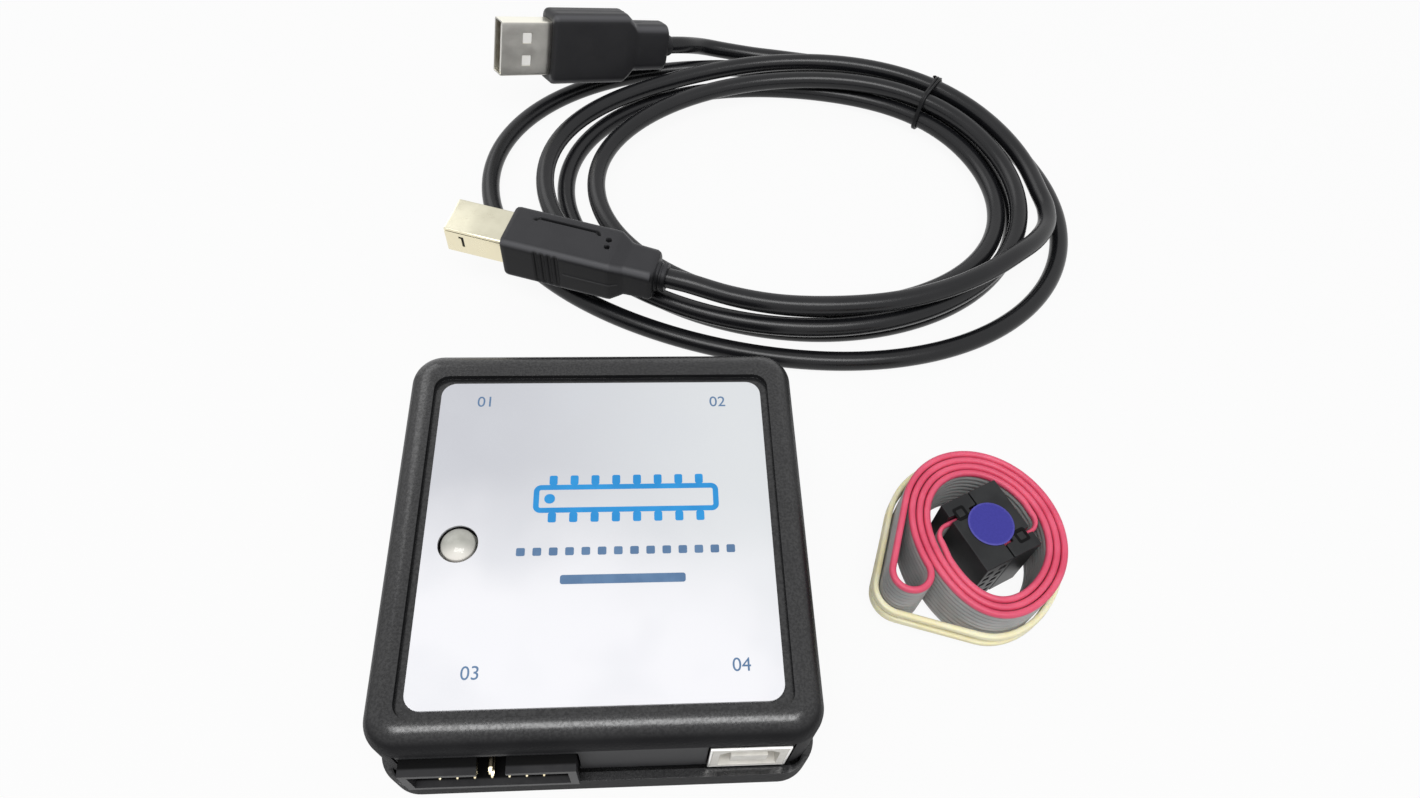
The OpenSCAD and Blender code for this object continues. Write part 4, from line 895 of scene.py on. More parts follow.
def makeDot():
    radius, high = dot["radius"], dot["low"] + dot["thick"]
    profile = [(radius - inset, high - drop) for inset, drop in dot["under"] + dot["upper"]]
    piece = lathe("dotSticker", profile, rollPlace, dot["sides"])
    middle = (roll["middle"][0] * mm, roll["middle"][1] * mm, high * mm)
    finish = dotFinish(paper, middle, radius * mm)
    settle(smoothPiece(piece, dot["smooth"]), finish, "ribbon_lead", ["dot_sticker"])


makeDot()
print("ribbon lead done")

# plugs: a grip is a skin over oblong rings, each given by its place along the plug, width, height and corner;
# grooves, a line round the pad and dimples are pressed into it, and its parting line stands out

gripA = {
    "rings": ((0.0, 13.2, 5.2, 1.2), (0.0, 14.6, 6.6, 1.4), (0.14, 15.3, 7.3, 1.7), (0.45, 15.8, 7.8, 1.9),
              (1.0, 16, 8, 2.0), (18.4, 16, 8, 2.0), (18.9, 15.8, 7.95, 2.0), (20.4, 13.3, 7.5, 2.0),
              (21.2, 11.6, 7.2, 2.1), (21.7, 11, 7, 2.1), (29.7, 10.9, 6.95, 2.2), (30.2, 10.6, 6.7, 2.3),
              (30.45, 9.9, 6.2, 2.4), (30.5, 8.4, 5.7, 2.4),
              (30.5, 5.9, 5.4, 2.6), (30.8, 5.5, 5.4, 2.69), (31.4, 5.2, 5.2, 2.59), (32.1, 5.0, 5.0, 2.49),
              (32.45, 4.7, 4.7, 2.34), (32.5, 4.3, 4.3, 2.14)),
    "grooves": (), "seam": 1.2, "line": None, "dimples": (), "step": 0.5, "steps": (24, 14, 7), "smooth": 50,
    "wear": 0.14, "topLight": 0.10, "highlightTo": 30.3,
}
gripB = {
    "rings": ((0.0, 8.2, 8.0, 1.0), (0.0, 9.4, 9.2, 1.2), (0.14, 10.1, 9.9, 1.3), (0.45, 10.6, 10.4, 1.45),
              (1.0, 10.8, 10.6, 1.5), (21.9, 10.8, 10.6, 1.5), (22.5, 10.7, 10.5, 1.55), (24.2, 9.2, 9.0, 1.6),
              (24.9, 8.5, 8.4, 1.7), (25.4, 8.4, 8.3, 1.7), (30.1, 8.2, 8.1, 1.8), (30.7, 7.8, 7.7, 1.9),
              (30.95, 7.2, 7.1, 2.0), (31.0, 6.0, 6.0, 2.6), (31.2, 5.9, 5.9, 2.94), (31.55, 6, 6, 2.98),
              (31.7, 5.4, 5.4, 2.68), (32.0, 5.4, 5.4, 2.68),
              (32.15, 6, 6, 2.98), (32.7, 6, 6, 2.98), (32.97, 5.6, 5.6, 2.78), (33.0, 4.4, 4.4, 2.18)),
    "grooves": (7.5, 8.9, 10.3, 11.7), "grooveDeep": 0.42, "grooveTall": 4.6, "seam": 13.0,
    "line": (11.65, 13.5, 5.9, 1.2, 0.55), "dimples": ((20.55, 1.55), (20.7, -0.3)), "step": 0.2,
    "steps": (44, 40, 7), "smooth": 50, "wear": 0.02, "topLight": 0.26, "highlightTo": 30.5,
}
dents = {"sideInset": 0.35, "sideFade": 0.3, "topInset": 0.3, "topFade": 0.25, "grooveWide": 1.25, "grooveFade": 0.4,
         "grooveEnd": 0.5, "lineWide": 0.28, "lineFrom": 2.0, "dimpleDeep": 0.9, "dimpleReach": 0.60,
         "dimpleFade": 0.25, "seamProud": 0.08, "seamTall": 0.16, "seamEnd": 24}
# settings of the grips' painted highlights on edges and seam, painted light on upper faces and painted shade in dents
gripLighting = {"spread": 2, "edge": 0.8, "topLightFrom": 0.6, "topLightFade": 0.35, "dentShade": 0.2, "seamGain": 4, "seamMost": 0.3}


def shareOf(value):
    return np.clip(value, 0, 1)


def gripDent(look, x, y, z, wide, high):
    dent = np.zeros_like(y)
    onSide = shareOf((np.abs(y) - wide / 2 + dents["sideInset"]) / dents["sideFade"])
    onTop = shareOf((z - high / 2 + dents["topInset"]) / dents["topFade"])
    for groove in look["grooves"]:
        over = shareOf(dents["grooveWide"] - abs(x - groove) / dents["grooveFade"])
        tall = shareOf((look["grooveTall"] - np.abs(z)) / dents["grooveEnd"])
        dent += look["grooveDeep"] * min(1.0, over * 2) * onSide * tall
    if look["line"]:
        middle, long, across, radius, deep = look["line"]
        qx = abs(x - middle) - long / 2 + radius
        qy = np.abs(y) - across / 2 + radius
        outside = np.hypot(np.maximum(qx, 0), np.maximum(qy, 0)) + np.minimum(np.maximum(qx, qy), 0) - radius
        dent += deep * np.exp(-(outside / dents["lineWide"]) ** 2) * onTop * (y > dents["lineFrom"])
    for dimpleX, dimpleY in look["dimples"]:
        apart = np.hypot(x - dimpleX, y - dimpleY)
        dent += dents["dimpleDeep"] * shareOf((dents["dimpleReach"] - apart) / dents["dimpleFade"]) * onTop
    seam = dents["seamProud"] * np.exp(-(z / dents["seamTall"]) ** 2) * onSide
    return dent - seam * (look["seam"] < x < dents["seamEnd"])


# painted light and shade: edges and the parting line are painted pale as highlights, upper faces are painted lighter as
# if lit from above, dents are painted dark as shade; the sides keep their plain tone
def gripToneAndLight(look, x, ring, outward, size, dent, place):
    wide, high, radius = size
    corner = shareOf((np.abs(ring) - np.array((wide, high)) / 2 + radius) / radius)
    edgeHighlight = shareOf(gripLighting["spread"] * corner[:, 0] * corner[:, 1]) ** 2 * (x < look["highlightTo"])
    topLight = shareOf((outward @ np.array(place.to_3x3())[2, 1:] - gripLighting["topLightFrom"]) / gripLighting["topLightFade"])
    wear = np.maximum(look["wear"] + look["topLight"] * topLight, gripLighting["edge"] * edgeHighlight)
    seamHighlight = np.clip(-gripLighting["seamGain"] * dent, 0, gripLighting["seamMost"])
    return np.maximum(wear * shareOf(1 - dent / gripLighting["dentShade"]), seamHighlight)


def makeGrip(name, look, place, node):
    rings = np.array(look["rings"])
    spots = [tuple(rings[0])]
    for before, after in zip(rings, rings[1:]):
        count = max(1, round((after[0] - before[0]) / look["step"]))
        spots += [tuple(before + (after - before) * i / count) for i in range(1, count + 1)]
    points, wear = [], []
    for x, wide, high, radius in spots:
        ring, outward = oblongRing(wide, high, radius, *look["steps"])
        dent = gripDent(look, x, ring[:, 0], ring[:, 1], wide, high)
        wear += list(gripToneAndLight(look, x, ring, outward, (wide, high, radius), dent, place))
        points += [(x, y, z) for y, z in ring - outward * dent[:, None]]
    piece = meshPiece(name, moved(points, place) * mm, loftFaces(len(spots), len(points) // len(spots)))
    piece.data.attributes.new("wear", "FLOAT", "POINT").data.foreach_set("value", wear)
    settle(smoothPiece(piece, look["smooth"]), finishes["gripBlack"], "usb_lead", [node])


makeGrip("usbGripA", gripA, plugPlace["A"], "usb_a_grip")
makeGrip("usbGripB", gripB, plugPlace["B"], "usb_b_grip")

# plug shells: folded sheet with windows left out of the skin between two stations, then thickened inwards

shellA = {"wide": 12.0, "high": 4.5, "radius": 0.55, "cornerSteps": 5, "sheet": 0.35, "edge": 0.07, "edgeAngle": 50,
          "stations": (-12.0, -11.7, -7.1, -4.9, 0.0), "windowAt": 2, "window": (1.3, 3.7), "faceFrom": 2, "smooth": 35}
shellB = {"wide": 8.45, "high": 7.78, "chamfer": 1.5, "radius": 0.45, "cornerSteps": 4, "sheet": 0.35, "edge": 0.07,
          "edgeAngle": 50, "stations": (-12.0, -11.7, -9.15, -8.65, -8.1, 0.0), "hookAt": 3, "hook": (-0.5, 1.7, 2.3),
          "seam": (3.16, 3.37), "sideFrom": 4, "smooth": 35}


def roundedLoop(corners, radius, steps):
    loop = []
    for before, here, after in zip(corners[-1:] + corners[:-1], corners, corners[1:] + corners[:1]):
        a, b, c = (np.array(p, float) for p in (before, here, after))
        toA, toC = (a - b) / np.linalg.norm(a - b), (c - b) / np.linalg.norm(c - b)
        reach = radius / math.tan(math.acos(np.clip(toA @ toC, -1, 1)) / 2)
        start, end = b + toA * reach, b + toC * reach
        for i in range(steps + 1):
            t = i / steps
            loop.append((1 - t) ** 2 * start + 2 * t * (1 - t) * b + t * t * end)
    return loop


# points put in where a loop crosses the edges of a window
def withBreaks(loop, axis, values, near=0.05):
    full = []
    for here, after in zip(loop, loop[1:] + loop[:1]):
        full.append(here)
        low, high = sorted((here[axis], after[axis]))
        inside = [v for v in values if low + near < v < high - near]
        for v in sorted(inside, key=lambda v: abs(v - here[axis])):
            full.append(here + (after - here) * (v - here[axis]) / (after[axis] - here[axis]))
    return full


def makeShell(name, look, loop, isOpen, place, node, finish):
    sides, stations = len(loop), look["stations"]
    points = [(x, y, z) for x in stations for y, z in loop]
    faces = []
    for i in range(len(stations) - 1):
        for k in range(sides):
            after = (k + 1) % sides
            if not isOpen(i, (loop[k] + loop[after]) / 2):
                faces.append((i * sides + k, i * sides + after, (i + 1) * sides + after, (i + 1) * sides + k))
    piece = meshPiece(name, moved(points, place) * mm, faces)
    axis = place.to_3x3().col[0]
    middle = place @ Vector((stations[0] / 2, 0, 0)) * mm

    def isInward(face):
        across = face.calc_center_median() - middle
        return (across - axis * across.dot(axis)).dot(face.normal) < 0

    turnOutwards(piece, isInward)
    wall = piece.modifiers.new("wall", "SOLIDIFY")
    wall.thickness = look["sheet"] * mm
    wall.offset = -1
    roundEdges(piece, look["edge"] * mm, angle=look["edgeAngle"])
    settle(smoothPiece(makePlain(piece), look["smooth"]), finishes[finish], "usb_lead", [node])


def openA(station, spot):
    inner, outer = shellA["window"]
    return station == shellA["windowAt"] and inner < abs(spot[0]) < outer and abs(spot[1]) > shellA["faceFrom"]


# a hooked window on each side, and the open seam where the folded sheet meets
def openB(station, spot):
    low, shoulder, top = shellB["hook"]
    hook = (station == shellB["hookAt"] and low < spot[1] < top) or (
        station == shellB["hookAt"] - 1 and shoulder < spot[1] < top)
    seam = spot[0] < 0 and shellB["seam"][0] < spot[1] < shellB["seam"][1]
    return abs(spot[0]) > shellB["sideFrom"] and (hook or seam)


def makeShells():
    halfW, halfH, (inner, outer) = shellA["wide"] / 2, shellA["high"] / 2, shellA["window"]
    corners = [(halfW, halfH), (-halfW, halfH), (-halfW, -halfH), (halfW, -halfH)]
    loop = withBreaks(roundedLoop(corners, shellA["radius"], shellA["cornerSteps"]), 0, (-outer, -inner, inner, outer))
    makeShell("usbShellA", shellA, loop, openA, plugPlace["A"], "usb_a_shell", "shellGrey")
    halfW, halfH, cut = shellB["wide"] / 2, shellB["high"] / 2, shellB["chamfer"]
    corners = [(halfW, halfH), (-halfW, halfH), (-halfW, cut - halfH), (cut - halfW, -halfH), (halfW - cut, -halfH),
               (halfW, cut - halfH)]
    loop = withBreaks(roundedLoop(corners, shellB["radius"], shellB["cornerSteps"]), 1, shellB["hook"] + shellB["seam"])
    makeShell("usbShellB", shellB, loop, openB, plugPlace["B"], "usb_b_shell", "shellCream")


makeShells()
softCopy("usbTongueA", "usb_a_tongue", 0.12, "linerWhite", "usb_lead")

# the tongue's white plastic shows in the windows of the flat plug

window = {"x": -6.0, "y": 2.5, "long": 2.1, "wide": 2.3, "corner": 0.3, "face": 2.16, "deep": 0.7,
          "steps": (2, 2, 4)}


def makeWindowPads():
    ring = oblongRing(window["long"], window["wide"], window["corner"], *window["steps"])[0]
    pads = []
    for side in (-1, 1):
        points = [(window["x"] + x, side * window["y"] + y, z)
                  for z in (window["face"] - window["deep"], window["face"]) for x, y in ring]
        pads.append(meshPiece("windowPad", moved(points, plugPlace["A"]) * mm, loftFaces(2, len(ring))))
    settle(joined("windowPads", pads), finishes["windowWhite"], "usb_lead")


makeWindowPads()
softCopy("usbInsertB", "usb_b_insert", 0.12, "socketBlack", "usb_lead")

# tie: two thin wires drawn tight round the loops, their ends twisted together on top

tie = {"wire": 0.62, "apart": 0.66, "gap": 0.12, "sway": 0.16, "rays": 720, "points": 140, "sides": 10, "tailAt": 0.62,
       "tailLong": 2.2, "tailBack": 0.25, "tailIn": 0.2, "tailThick": 0.4, "tailSway": 0.3, "tailRise": 0.32,
       "twists": 1.5, "tailSteps": 25, "tailSides": 8, "smooth": 50}


def tubeRings(line, radius, sides):
    way = unitRows(np.gradient(line, axis=0))
    across = unitRows(np.cross(way, (0.0, 1.0, 0.0)))
    third = np.cross(way, across)
    turn = fullTurn(sides)
    return line[:, None, :] + radius * (
        across[:, None, :] * np.cos(turn)[None, :, None] + third[:, None, :] * np.sin(turn)[None, :, None])


def makeTie():
    turn = (lead["start"] - lead["tieAngle"]) / 360
    strands = [coilPoint(turn + k) for k in range(math.ceil(lead["turns"])) if turn + k <= lead["turns"]]
    outer, inner = strands[0], strands[2]
    heading = math.atan2(outer[1] - inner[1], outer[0] - inner[0])
    middle = (outer + inner) / 2
    level = np.array((math.cos(heading), math.sin(heading)))
    section = np.array([((p - middle)[:2] @ level, p[2]) for p in strands])
    place = Matrix.Translation(Vector(lead["middle"]) + Vector((middle[0], middle[1], 0)))
    place = place @ Matrix.Rotation(heading, 4, "Z")
    reach = lead["thick"] / 2 + tie["gap"] + tie["wire"] / 2
    ways = [np.array((math.cos(a), math.sin(a))) for a in fullTurn(tie["rays"])]
    hull = np.array([section[np.argmax(section @ way)] + reach * way for way in ways])
    loop = evenLoop(hull, tie["points"])
    points, faces = [], []
    for side in (-1, 1):
        sway = side * tie["apart"] / 2 + tie["sway"] * np.sin(fullTurn(tie["points"]) + side)
        line = np.c_[loop[:, 0], sway, loop[:, 1]]
        rings = tubeRings(np.r_[line[-2:], line, line[:2]], tie["wire"] / 2, tie["sides"])[2:-2]
        faces += loftFaces(len(line), tie["sides"], closed=True, base=len(points))
        points += list(rings.reshape(-1, 3))
    top = loop[np.argmax(loop @ np.array((math.cos(tie["tailAt"]), math.sin(tie["tailAt"]))))]
    along = np.linspace(0, 1, tie["tailSteps"])
    ring = np.array([(math.cos(a), 0.0, math.sin(a)) for a in fullTurn(tie["tailSides"])])
    for strand in (0, math.pi):
        angle = strand + 2 * math.pi * tie["twists"] * along
        line = np.c_[top[0] - tie["tailIn"] + tie["tailSway"] * tie["wire"] * np.cos(angle),
                     tie["tailLong"] * (along - tie["tailBack"]),
                     top[1] + tie["tailRise"] * tie["wire"] * (1 + np.sin(angle))]
        faces += loftFaces(len(line), tie["tailSides"], base=len(points))
        points += list((line[:, None, :] + tie["tailThick"] * tie["wire"] * ring[None, :, :]).reshape(-1, 3))
    piece = meshPiece("cableTie", moved(points, place) * mm, faces)
    turnOutwards(piece)
    settle(smoothPiece(piece, tie["smooth"]), finishes["tieBlack"], "usb_lead", ["cable_tie"])


makeTie()
print("usb lead done")

# repeats: a grid of one shape, made by a node tree and kept as a plain mesh


def gridTree():
    tree = bpy.data.node_groups.new("shapeGrid", "GeometryNodeTree")
    inputs = {}
    for label, kind in (("Columns", "Int"), ("Rows", "Int"), ("Column Pitch", "Float"), ("Row Pitch", "Float"),
                        ("Shape", "Object"), ("Finish", "Material")):
        inputs[label] = tree.interface.new_socket(label, in_out="INPUT", socket_type="NodeSocket" + kind)
    tree.interface.new_socket("Geometry", in_out="OUTPUT", socket_type="NodeSocketGeometry")
    given = makeNode(tree, "NodeGroupInput")
    wired = lambda label: Wire(tree, given.outputs[label])
    vector = lambda axis, wire: addNode(tree, "ShaderNodeCombineXYZ", None, {axis: wire})
    spread = lambda count, offset: addNode(tree, "GeometryNodeMeshLine", None, {"Count": count, "Offset": offset})
    columns = spread(wired("Columns"), vector("X", wired("Column Pitch")))
    rows = spread(wired("Rows"), vector("Y", wired("Row Pitch")))
    grid = addNode(tree, "GeometryNodeInstanceOnPoints", None, {"Points": rows, "Instance": columns})
    spots = addNode(tree, "GeometryNodeRealizeInstances", None, {0: grid})
    shape = addNode(tree, "GeometryNodeObjectInfo", None, {"Object": wired("Shape")}, out="Geometry")
    many = addNode(tree, "GeometryNodeInstanceOnPoints", None, {"Points": spots, "Instance": shape})
    real = addNode(tree, "GeometryNodeRealizeInstances", None, {0: many})
    done = addNode(tree, "GeometryNodeSetMaterial", None, {0: real, "Material": wired("Finish")})
    makeNode(tree, "NodeGroupOutput", None, {0: done})
    return tree, {label: socket.identifier for label, socket in inputs.items()}


shapeGrid, gridInputs = gridTree()


# the grid lies round the place; the shape that it repeats is taken away afterwards
def gridPiece(name, shape, columns, rows, columnPitch, rowPitch, finish, place):
    piece = meshPiece(name, [], [])
    grid = piece.modifiers.new("grid", "NODES")
    grid.node_group = shapeGrid
    for label, value in (("Columns", columns), ("Rows", rows), ("Column Pitch", columnPitch * mm),
                         ("Row Pitch", rowPitch * mm), ("Shape", shape), ("Finish", finishes[finish])):
        grid[gridInputs[label]] = value
    makePlain(piece)
    dropShapes(shape)
    middle = Matrix.Translation(Vector((-(columns - 1) * columnPitch / 2, -(rows - 1) * rowPitch / 2, 0)) * mm)
    piece.data.transform(place @ middle)
    return piece


square = ((-1, -1), (1, -1), (1, 1), (-1, 1))

# header pins: square wire, pointed at the tip, bent down to the board

pins = {"side": 0.64, "pitch": 2.54, "recess": 1.5, "frontRecess": 0.65, "deep": 10.0, "proud": 35.6, "board": 7.0,
        "tall": 9.1, "point": 0.7, "tip": 0.4, "edge": 0.06, "footShift": 0.25, "smooth": 30}


def pinShape(row, recess):
    side, half = pins["side"], pins["side"] / 2
    height = pins["tall"] / 2 + (row - 0.5) * pins["pitch"]
    foot = pins["deep"] + pins["pitch"] * (row + pins["footShift"])
    points = [(x * half * size, y, height + z * half * size)
              for y, size in ((recess, pins["tip"]), (recess + pins["point"], 1.0)) for x, z in square]
    points += [(x * half, foot - side if z < 0 else foot, height + z * half) for x, z in square]
    points += [(x * half, foot - side if y < 0 else foot, 0) for x, y in square]
    piece = meshPiece("pinShape", np.array(points) * mm, loftFaces(4, 4))
    roundEdges(piece, pins["edge"] * mm)
    return smoothPiece(makePlain(piece), pins["smooth"])


def makePins(name, columns, x, turned, node, recess, finish):
    place = Matrix.Translation(Vector((x, 0, pins["board"])) * mm) @ Matrix.Rotation(math.pi * turned, 4, "Z")
    place = place @ Matrix.Translation(Vector((0, -pins["proud"], 0)) * mm)
    rows = [gridPiece(name + "Row", pinShape(row, recess), columns, 1, pins["pitch"], 0, finish, place)
            for row in (0, 1)]
    settle(joined(name, rows), finishes[finish], "case", [node])


makePins("frontPins", 7, -15.75, 0, "front_header_pins", pins["frontRecess"], "tipGold")
makePins("rearLeftPins", 5, -17.0, 1, "rear_left_header_pins", pins["recess"], "pinGold")
makePins("rearRightPins", 5, 17.0, 1, "rear_right_header_pins", pins["recess"], "pinGold")

# case screws: pan heads with a cross recess, flush with the underside; rim is the head's rounded edge, set in and up

screw = {"headR": 2.2, "headTall": 1.1, "rim": ((0.5, 0.0), (0.16, 0.05), (0.03, 0.2), (0.0, 0.4)), "shankR": 1.1,
         "long": 11.0, "tip": 0.5, "sides": 40, "crossLong": 2.6, "crossWide": 0.62, "crossDeep": 0.6, "crossOut": 0.5,
         "x": 56.0, "y": 24.6, "smooth": 35}


def screwShape():
    headR, shankR, tall = screw["headR"], screw["shankR"], screw["headTall"]
    end = tall + screw["long"]
    profile = [(headR - inset, z) for inset, z in screw["rim"]]
    profile += [(headR, tall), (shankR, tall), (shankR, end - screw["tip"]), (shankR - screw["tip"], end)]
    piece = lathe("screwShape", profile, Matrix.Identity(4), screw["sides"])
    long, wide = screw["crossLong"] / 2, screw["crossWide"] / 2
    cutters = []
    for halfX, halfY in ((long, wide), (wide, long)):
        box = [(x * halfX, y * halfY, z) for z in (-screw["crossOut"], screw["crossDeep"]) for x, y in square]
        cutters.append(meshPiece("cutShape", np.array(box) * mm, loftFaces(2, 4)))
        cut = piece.modifiers.new("cut", "BOOLEAN")
        cut.object = cutters[-1]
        cut.solver = "EXACT"
    makePlain(piece)
    dropShapes(*cutters)
    return smoothPiece(piece, screw["smooth"])


screws = gridPiece("caseScrews", screwShape(), 2, 2, screw["x"], screw["y"], "screwSteel", Matrix.Identity(4))
settle(screws, finishes["screwSteel"], "case", ["case_screws"])

# push-button: turned cap with a domed end and a collar below

button = {"radius": 2.7, "dome": 1.1, "domeFrom": 0.02, "domeTo": 0.95, "domeRings": 22, "top": 22.4,
          "shoulder": ((0.0, -0.12), (0.03, 0.02)), "collar": 3.8, "collarLow": 18.1, "collarTall": 1.0,
          "collarEdge": 0.1, "well": 1.8, "sides": 96, "smooth": 50}


def makeButton():
    low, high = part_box("button_cap")
    middle = (low + high) / 2 / mm
    radius, dome, top = button["radius"], button["dome"], button["top"]
    ball = (radius * radius + dome * dome) / (2 * dome)
    shares = np.linspace(button["domeFrom"], button["domeTo"], button["domeRings"])
    arcRings = [(s * radius, top - ball + math.sqrt(ball * ball - (s * radius) ** 2)) for s in shares]
    collar, edge, foot = button["collar"], button["collarEdge"], button["collarLow"]
    roof = foot + button["collarTall"]
    profile = [(button["well"], foot), (collar - edge, foot), (collar, foot + edge), (collar, roof - edge),
               (collar - edge, roof), (radius, roof)]
    profile += [(radius - inset, top - dome + rise) for inset, rise in button["shoulder"]] + arcRings[::-1]
    piece = lathe("buttonCap", profile, Matrix.Translation(Vector((middle.x, middle.y, 0))), button["sides"])
    settle(smoothPiece(piece, button["smooth"]), finishes["capPearl"], "button", ["button_cap"])


makeButton()

# case and ports: the solids with their edges eased, by node, width of the edge in mm, finish, slot and steps

eased = {
    "topShell": ("top_shell", 0.30, "caseBlack", "case_black", 3),
    "bottomShell": ("bottom_shell", 0.25, "caseBlack", "case_black", 3),
    "labelPlate": ("label_plate", 0.10, "labelSilver", "label_silver", 2),
    "frontPanel": ("front_panel", 0.15, "panelBlack", "panel_black", 2),
    "rearPanel": ("rear_panel", 0.15, "panelBlack", "panel_black", 2),
    "frontHeader": ("front_header", 0.12, "portBlack", "header_black", 2),
    "rearLeftHeader": ("rear_left_header", 0.12, "headerBlack", "header_black", 2),
    "rearRightHeader": ("rear_right_header", 0.12, "headerBlack", "header_black", 2),
    "socketShell": ("usb_socket_shell", 0.10, "socketTin", "socket_metal", 2),
    "socketInsert": ("usb_socket_insert", 0.12, "insertIvory", "liner_white", 2),
}
notchShift = {"frontHeader": ((-18.0, 0.70), (-13.5, 0.40))}  # the key notch lies a little to the right
for name, (node, width, finish, slot, steps) in eased.items():
    softCopy(name, node, width, finish, "case", steps, notchShift.get(name, ()))
print("case done")

# print on the label: plain numerals at the ports, a chip drawing, a pin map and a bar

printed = {
    "level": 21.5, "high": 0.03, "numeralSize": 2.9, "steps": (2, 2, 8),
    "numerals": (("01", -19.9, 24.0), ("02", 19.9, 23.7), ("03", -18.4, -22.7), ("04", 21.3, -22.5)),
    "chip": {"x": 4.2, "y": 5.4, "wide": 30.0, "deep": 5.0, "corner": 1.2, "innerCorner": 0.3, "line": 0.9},
    "notch": {"side": 1.7, "corner": 0.8, "in": 2.6},
    "legs": {"count": 8, "pitch": 3.4, "wide": 1.3, "long": 1.7, "corner": 0.3},
    "map": {"x": 4.2, "y": -3.8, "count": 14, "pitch": 2.54, "side": 1.35, "corner": 0.25},
    "bar": {"x": 3.7, "y": -8.5, "long": 19.4, "deep": 1.5, "corner": 0.4},
}


def at(x, y):
    return Matrix.Translation(Vector((x, y, printed["level"])) * mm)


def flatRings(wide, deep, corner, heights):
    return [(x, y, z) for z in heights for x, y in oblongRing(wide, deep, corner, *printed["steps"])[0]]


def flatOblong(name, wide, deep, corner):
    points = flatRings(wide, deep, corner, (0, printed["high"]))
    return meshPiece(name, np.array(points) * mm, loftFaces(2, len(points) // 2))


def chipOutline(name, look):
    wide, deep, line = look["wide"], look["deep"], look["line"]
    points = flatRings(wide, deep, look["corner"], (0, printed["high"]))
    points += flatRings(wide - 2 * line, deep - 2 * line, look["innerCorner"], (printed["high"], 0))
    return meshPiece(name, np.array(points) * mm, loftFaces(4, len(points) // 4, closed=True))


def numeralPiece(text, x, y):
    font = bpy.data.curves.new("numeral", "FONT")
    font.body = text
    font.size = printed["numeralSize"] * mm
    font.align_x = "CENTER"
    font.align_y = "CENTER"
    font.extrude = printed["high"] / 2 * mm
    figure = newObject("numeral", font)
    mesh = seenMesh(figure)
    dropShapes(figure)
    mesh.transform(at(x, y) @ Matrix.Translation(Vector((0, 0, printed["high"] / 2 * mm))))
    return newObject("numeralMesh", mesh)


def makePrint():
    chip, notch, legs, pinMap, bar = (printed[key] for key in ("chip", "notch", "legs", "map", "bar"))
    body = chipOutline("chipBody", chip)
    body.data.transform(at(chip["x"], chip["y"]))
    mark = flatOblong("chipNotch", notch["side"], notch["side"], notch["corner"])
    mark.data.transform(at(chip["x"] - chip["wide"] / 2 + notch["in"], chip["y"]))
    leg = flatOblong("legShape", legs["wide"], legs["long"], legs["corner"])
    legRows = gridPiece("chipLegs", leg, legs["count"], 2, legs["pitch"], chip["deep"] + legs["long"], "inkBlue",
                        at(chip["x"], chip["y"]))
    pad = flatOblong("holeShape", pinMap["side"], pinMap["side"], pinMap["corner"])
    pads = gridPiece("pinMap", pad, pinMap["count"], 1, pinMap["pitch"], 0, "inkSlate", at(pinMap["x"], pinMap["y"]))
    stroke = flatOblong("plainBar", bar["long"], bar["deep"], bar["corner"])
    stroke.data.transform(at(bar["x"], bar["y"]))
    numerals = [numeralPiece(*numeral) for numeral in printed["numerals"]]
    settle(joined("labelPrintBlue", [body, mark, legRows]), finishes["inkBlue"], "case")
    settle(joined("labelPrintSlate", [pads, stroke] + numerals), finishes["inkSlate"], "case")


makePrint()

# solids that keep their shape get their finish

inside = {
    "boardGreen": ["circuit_board"], "switchGrey": ["switch_plunger", "tact_switch"], "lampClear": ["status_lamp"],
    "chipBlack": ["controller_chip", "buffer_chip", "regulator", "resistors"], "canSteel": ["crystal"],
    "ceramicTan": ["capacitors"],
    "pinGold": ["usb_socket_contacts", "usb_a_contacts", "usb_b_contacts", "ribbon_contacts"],
}
for finish, kept in inside.items():
    for node in kept:
        nodes[node].data.materials.clear()
        nodes[node].data.materials.append(finishes[finish])
print("solids finished:", sum(map(len, inside.values())))

# studio: pale floor, one large soft lamp above and a little in front, a weaker one from the rear left

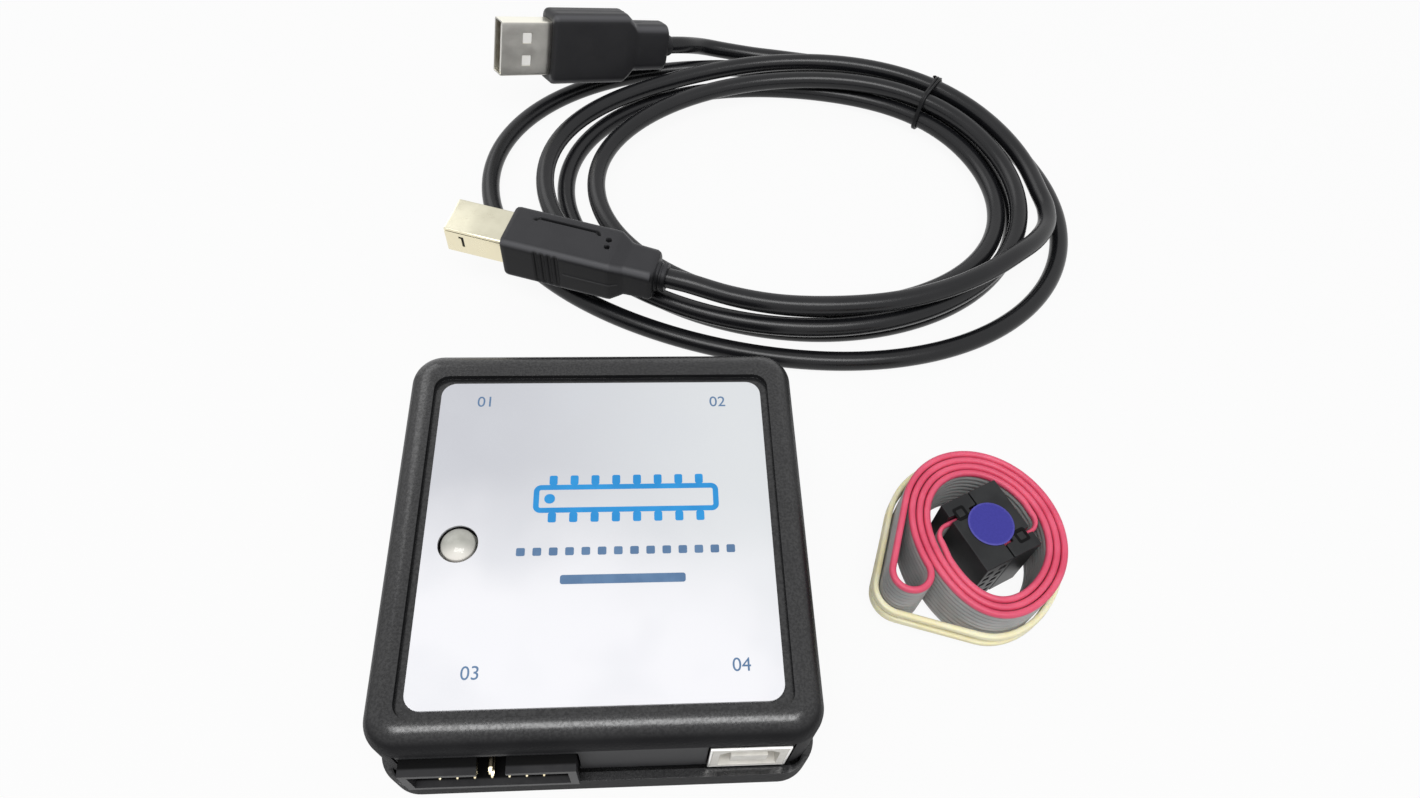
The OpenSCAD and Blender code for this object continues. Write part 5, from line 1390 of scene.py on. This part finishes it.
studio = {"floor": 4.0, "floorLevel": -0.0002, "white": 0.60, "show": 0.93, "world": 0.45}
lamps = {
    "overFront": {"place": (0.0, -0.22, 0.72), "target": (0.03, 0.04, 0.0), "wide": 0.60, "deep": 0.26, "power": 3.8},
    "rearLeft": {"place": (-0.45, 0.55, 0.5), "target": (0.02, 0.05, 0.0), "wide": 0.5, "deep": 0.4, "power": 1.0},
}


# rays from the camera, and those mirrored or let through on their way, see the white ground
def rayShare(tree):
    rays = makeNode(tree, "ShaderNodeLightPath")
    seen = Wire(tree, rays.outputs["Is Camera Ray"]) + Wire(tree, rays.outputs["Is Glossy Ray"])
    seen = seen + Wire(tree, rays.outputs["Is Transmission Ray"])
    return seen.calc("MINIMUM", seen, 1.0)


def whiteLight(tree, kind, strength):
    return addNode(tree, kind, None, {"Color": (1.0, 1.0, 1.0), "Strength": strength})


def mixShaders(tree, share, first, second):
    return addNode(tree, "ShaderNodeMixShader", None, {0: share, 1: first, 2: second})


def makeStudio():
    half, level = studio["floor"] / 2, studio["floorLevel"]
    floor = meshPiece("floor", [(half * x, half * y, level) for x, y in square], [(0, 1, 2, 3)])
    material = bpy.data.materials.new("floorPale")
    tree = clearTree(material)
    matt = addNode(tree, "ShaderNodeBsdfDiffuse", None, {"Color": (studio["white"],) * 3})
    glow = whiteLight(tree, "ShaderNodeEmission", 1.0)
    shown = mixShaders(tree, studio["show"] * rayShare(tree), matt, glow)
    closeTree(tree, "ShaderNodeOutputMaterial", shown)
    floor.data.materials.append(material)
    scene.world = bpy.data.worlds.new("studio")
    tree = clearTree(scene.world)
    dim = whiteLight(tree, "ShaderNodeBackground", studio["world"])
    sky = mixShaders(tree, rayShare(tree), dim, whiteLight(tree, "ShaderNodeBackground", 1.0))
    closeTree(tree, "ShaderNodeOutputWorld", sky)


def makeLamps():
    for name, look in lamps.items():
        data = bpy.data.lights.new(name, "AREA")
        data.shape = "RECTANGLE"
        data.size = look["wide"]
        data.size_y = look["deep"]
        data.energy = look["power"]
        lamp = newObject(name, data)
        lamp.location = look["place"]
        lamp.rotation_euler = (Vector(look["target"]) - Vector(look["place"])).to_track_quat("-Z", "Y").to_euler()


makeStudio()
makeLamps()
bpy.context.view_layer.update()
print("studio done")
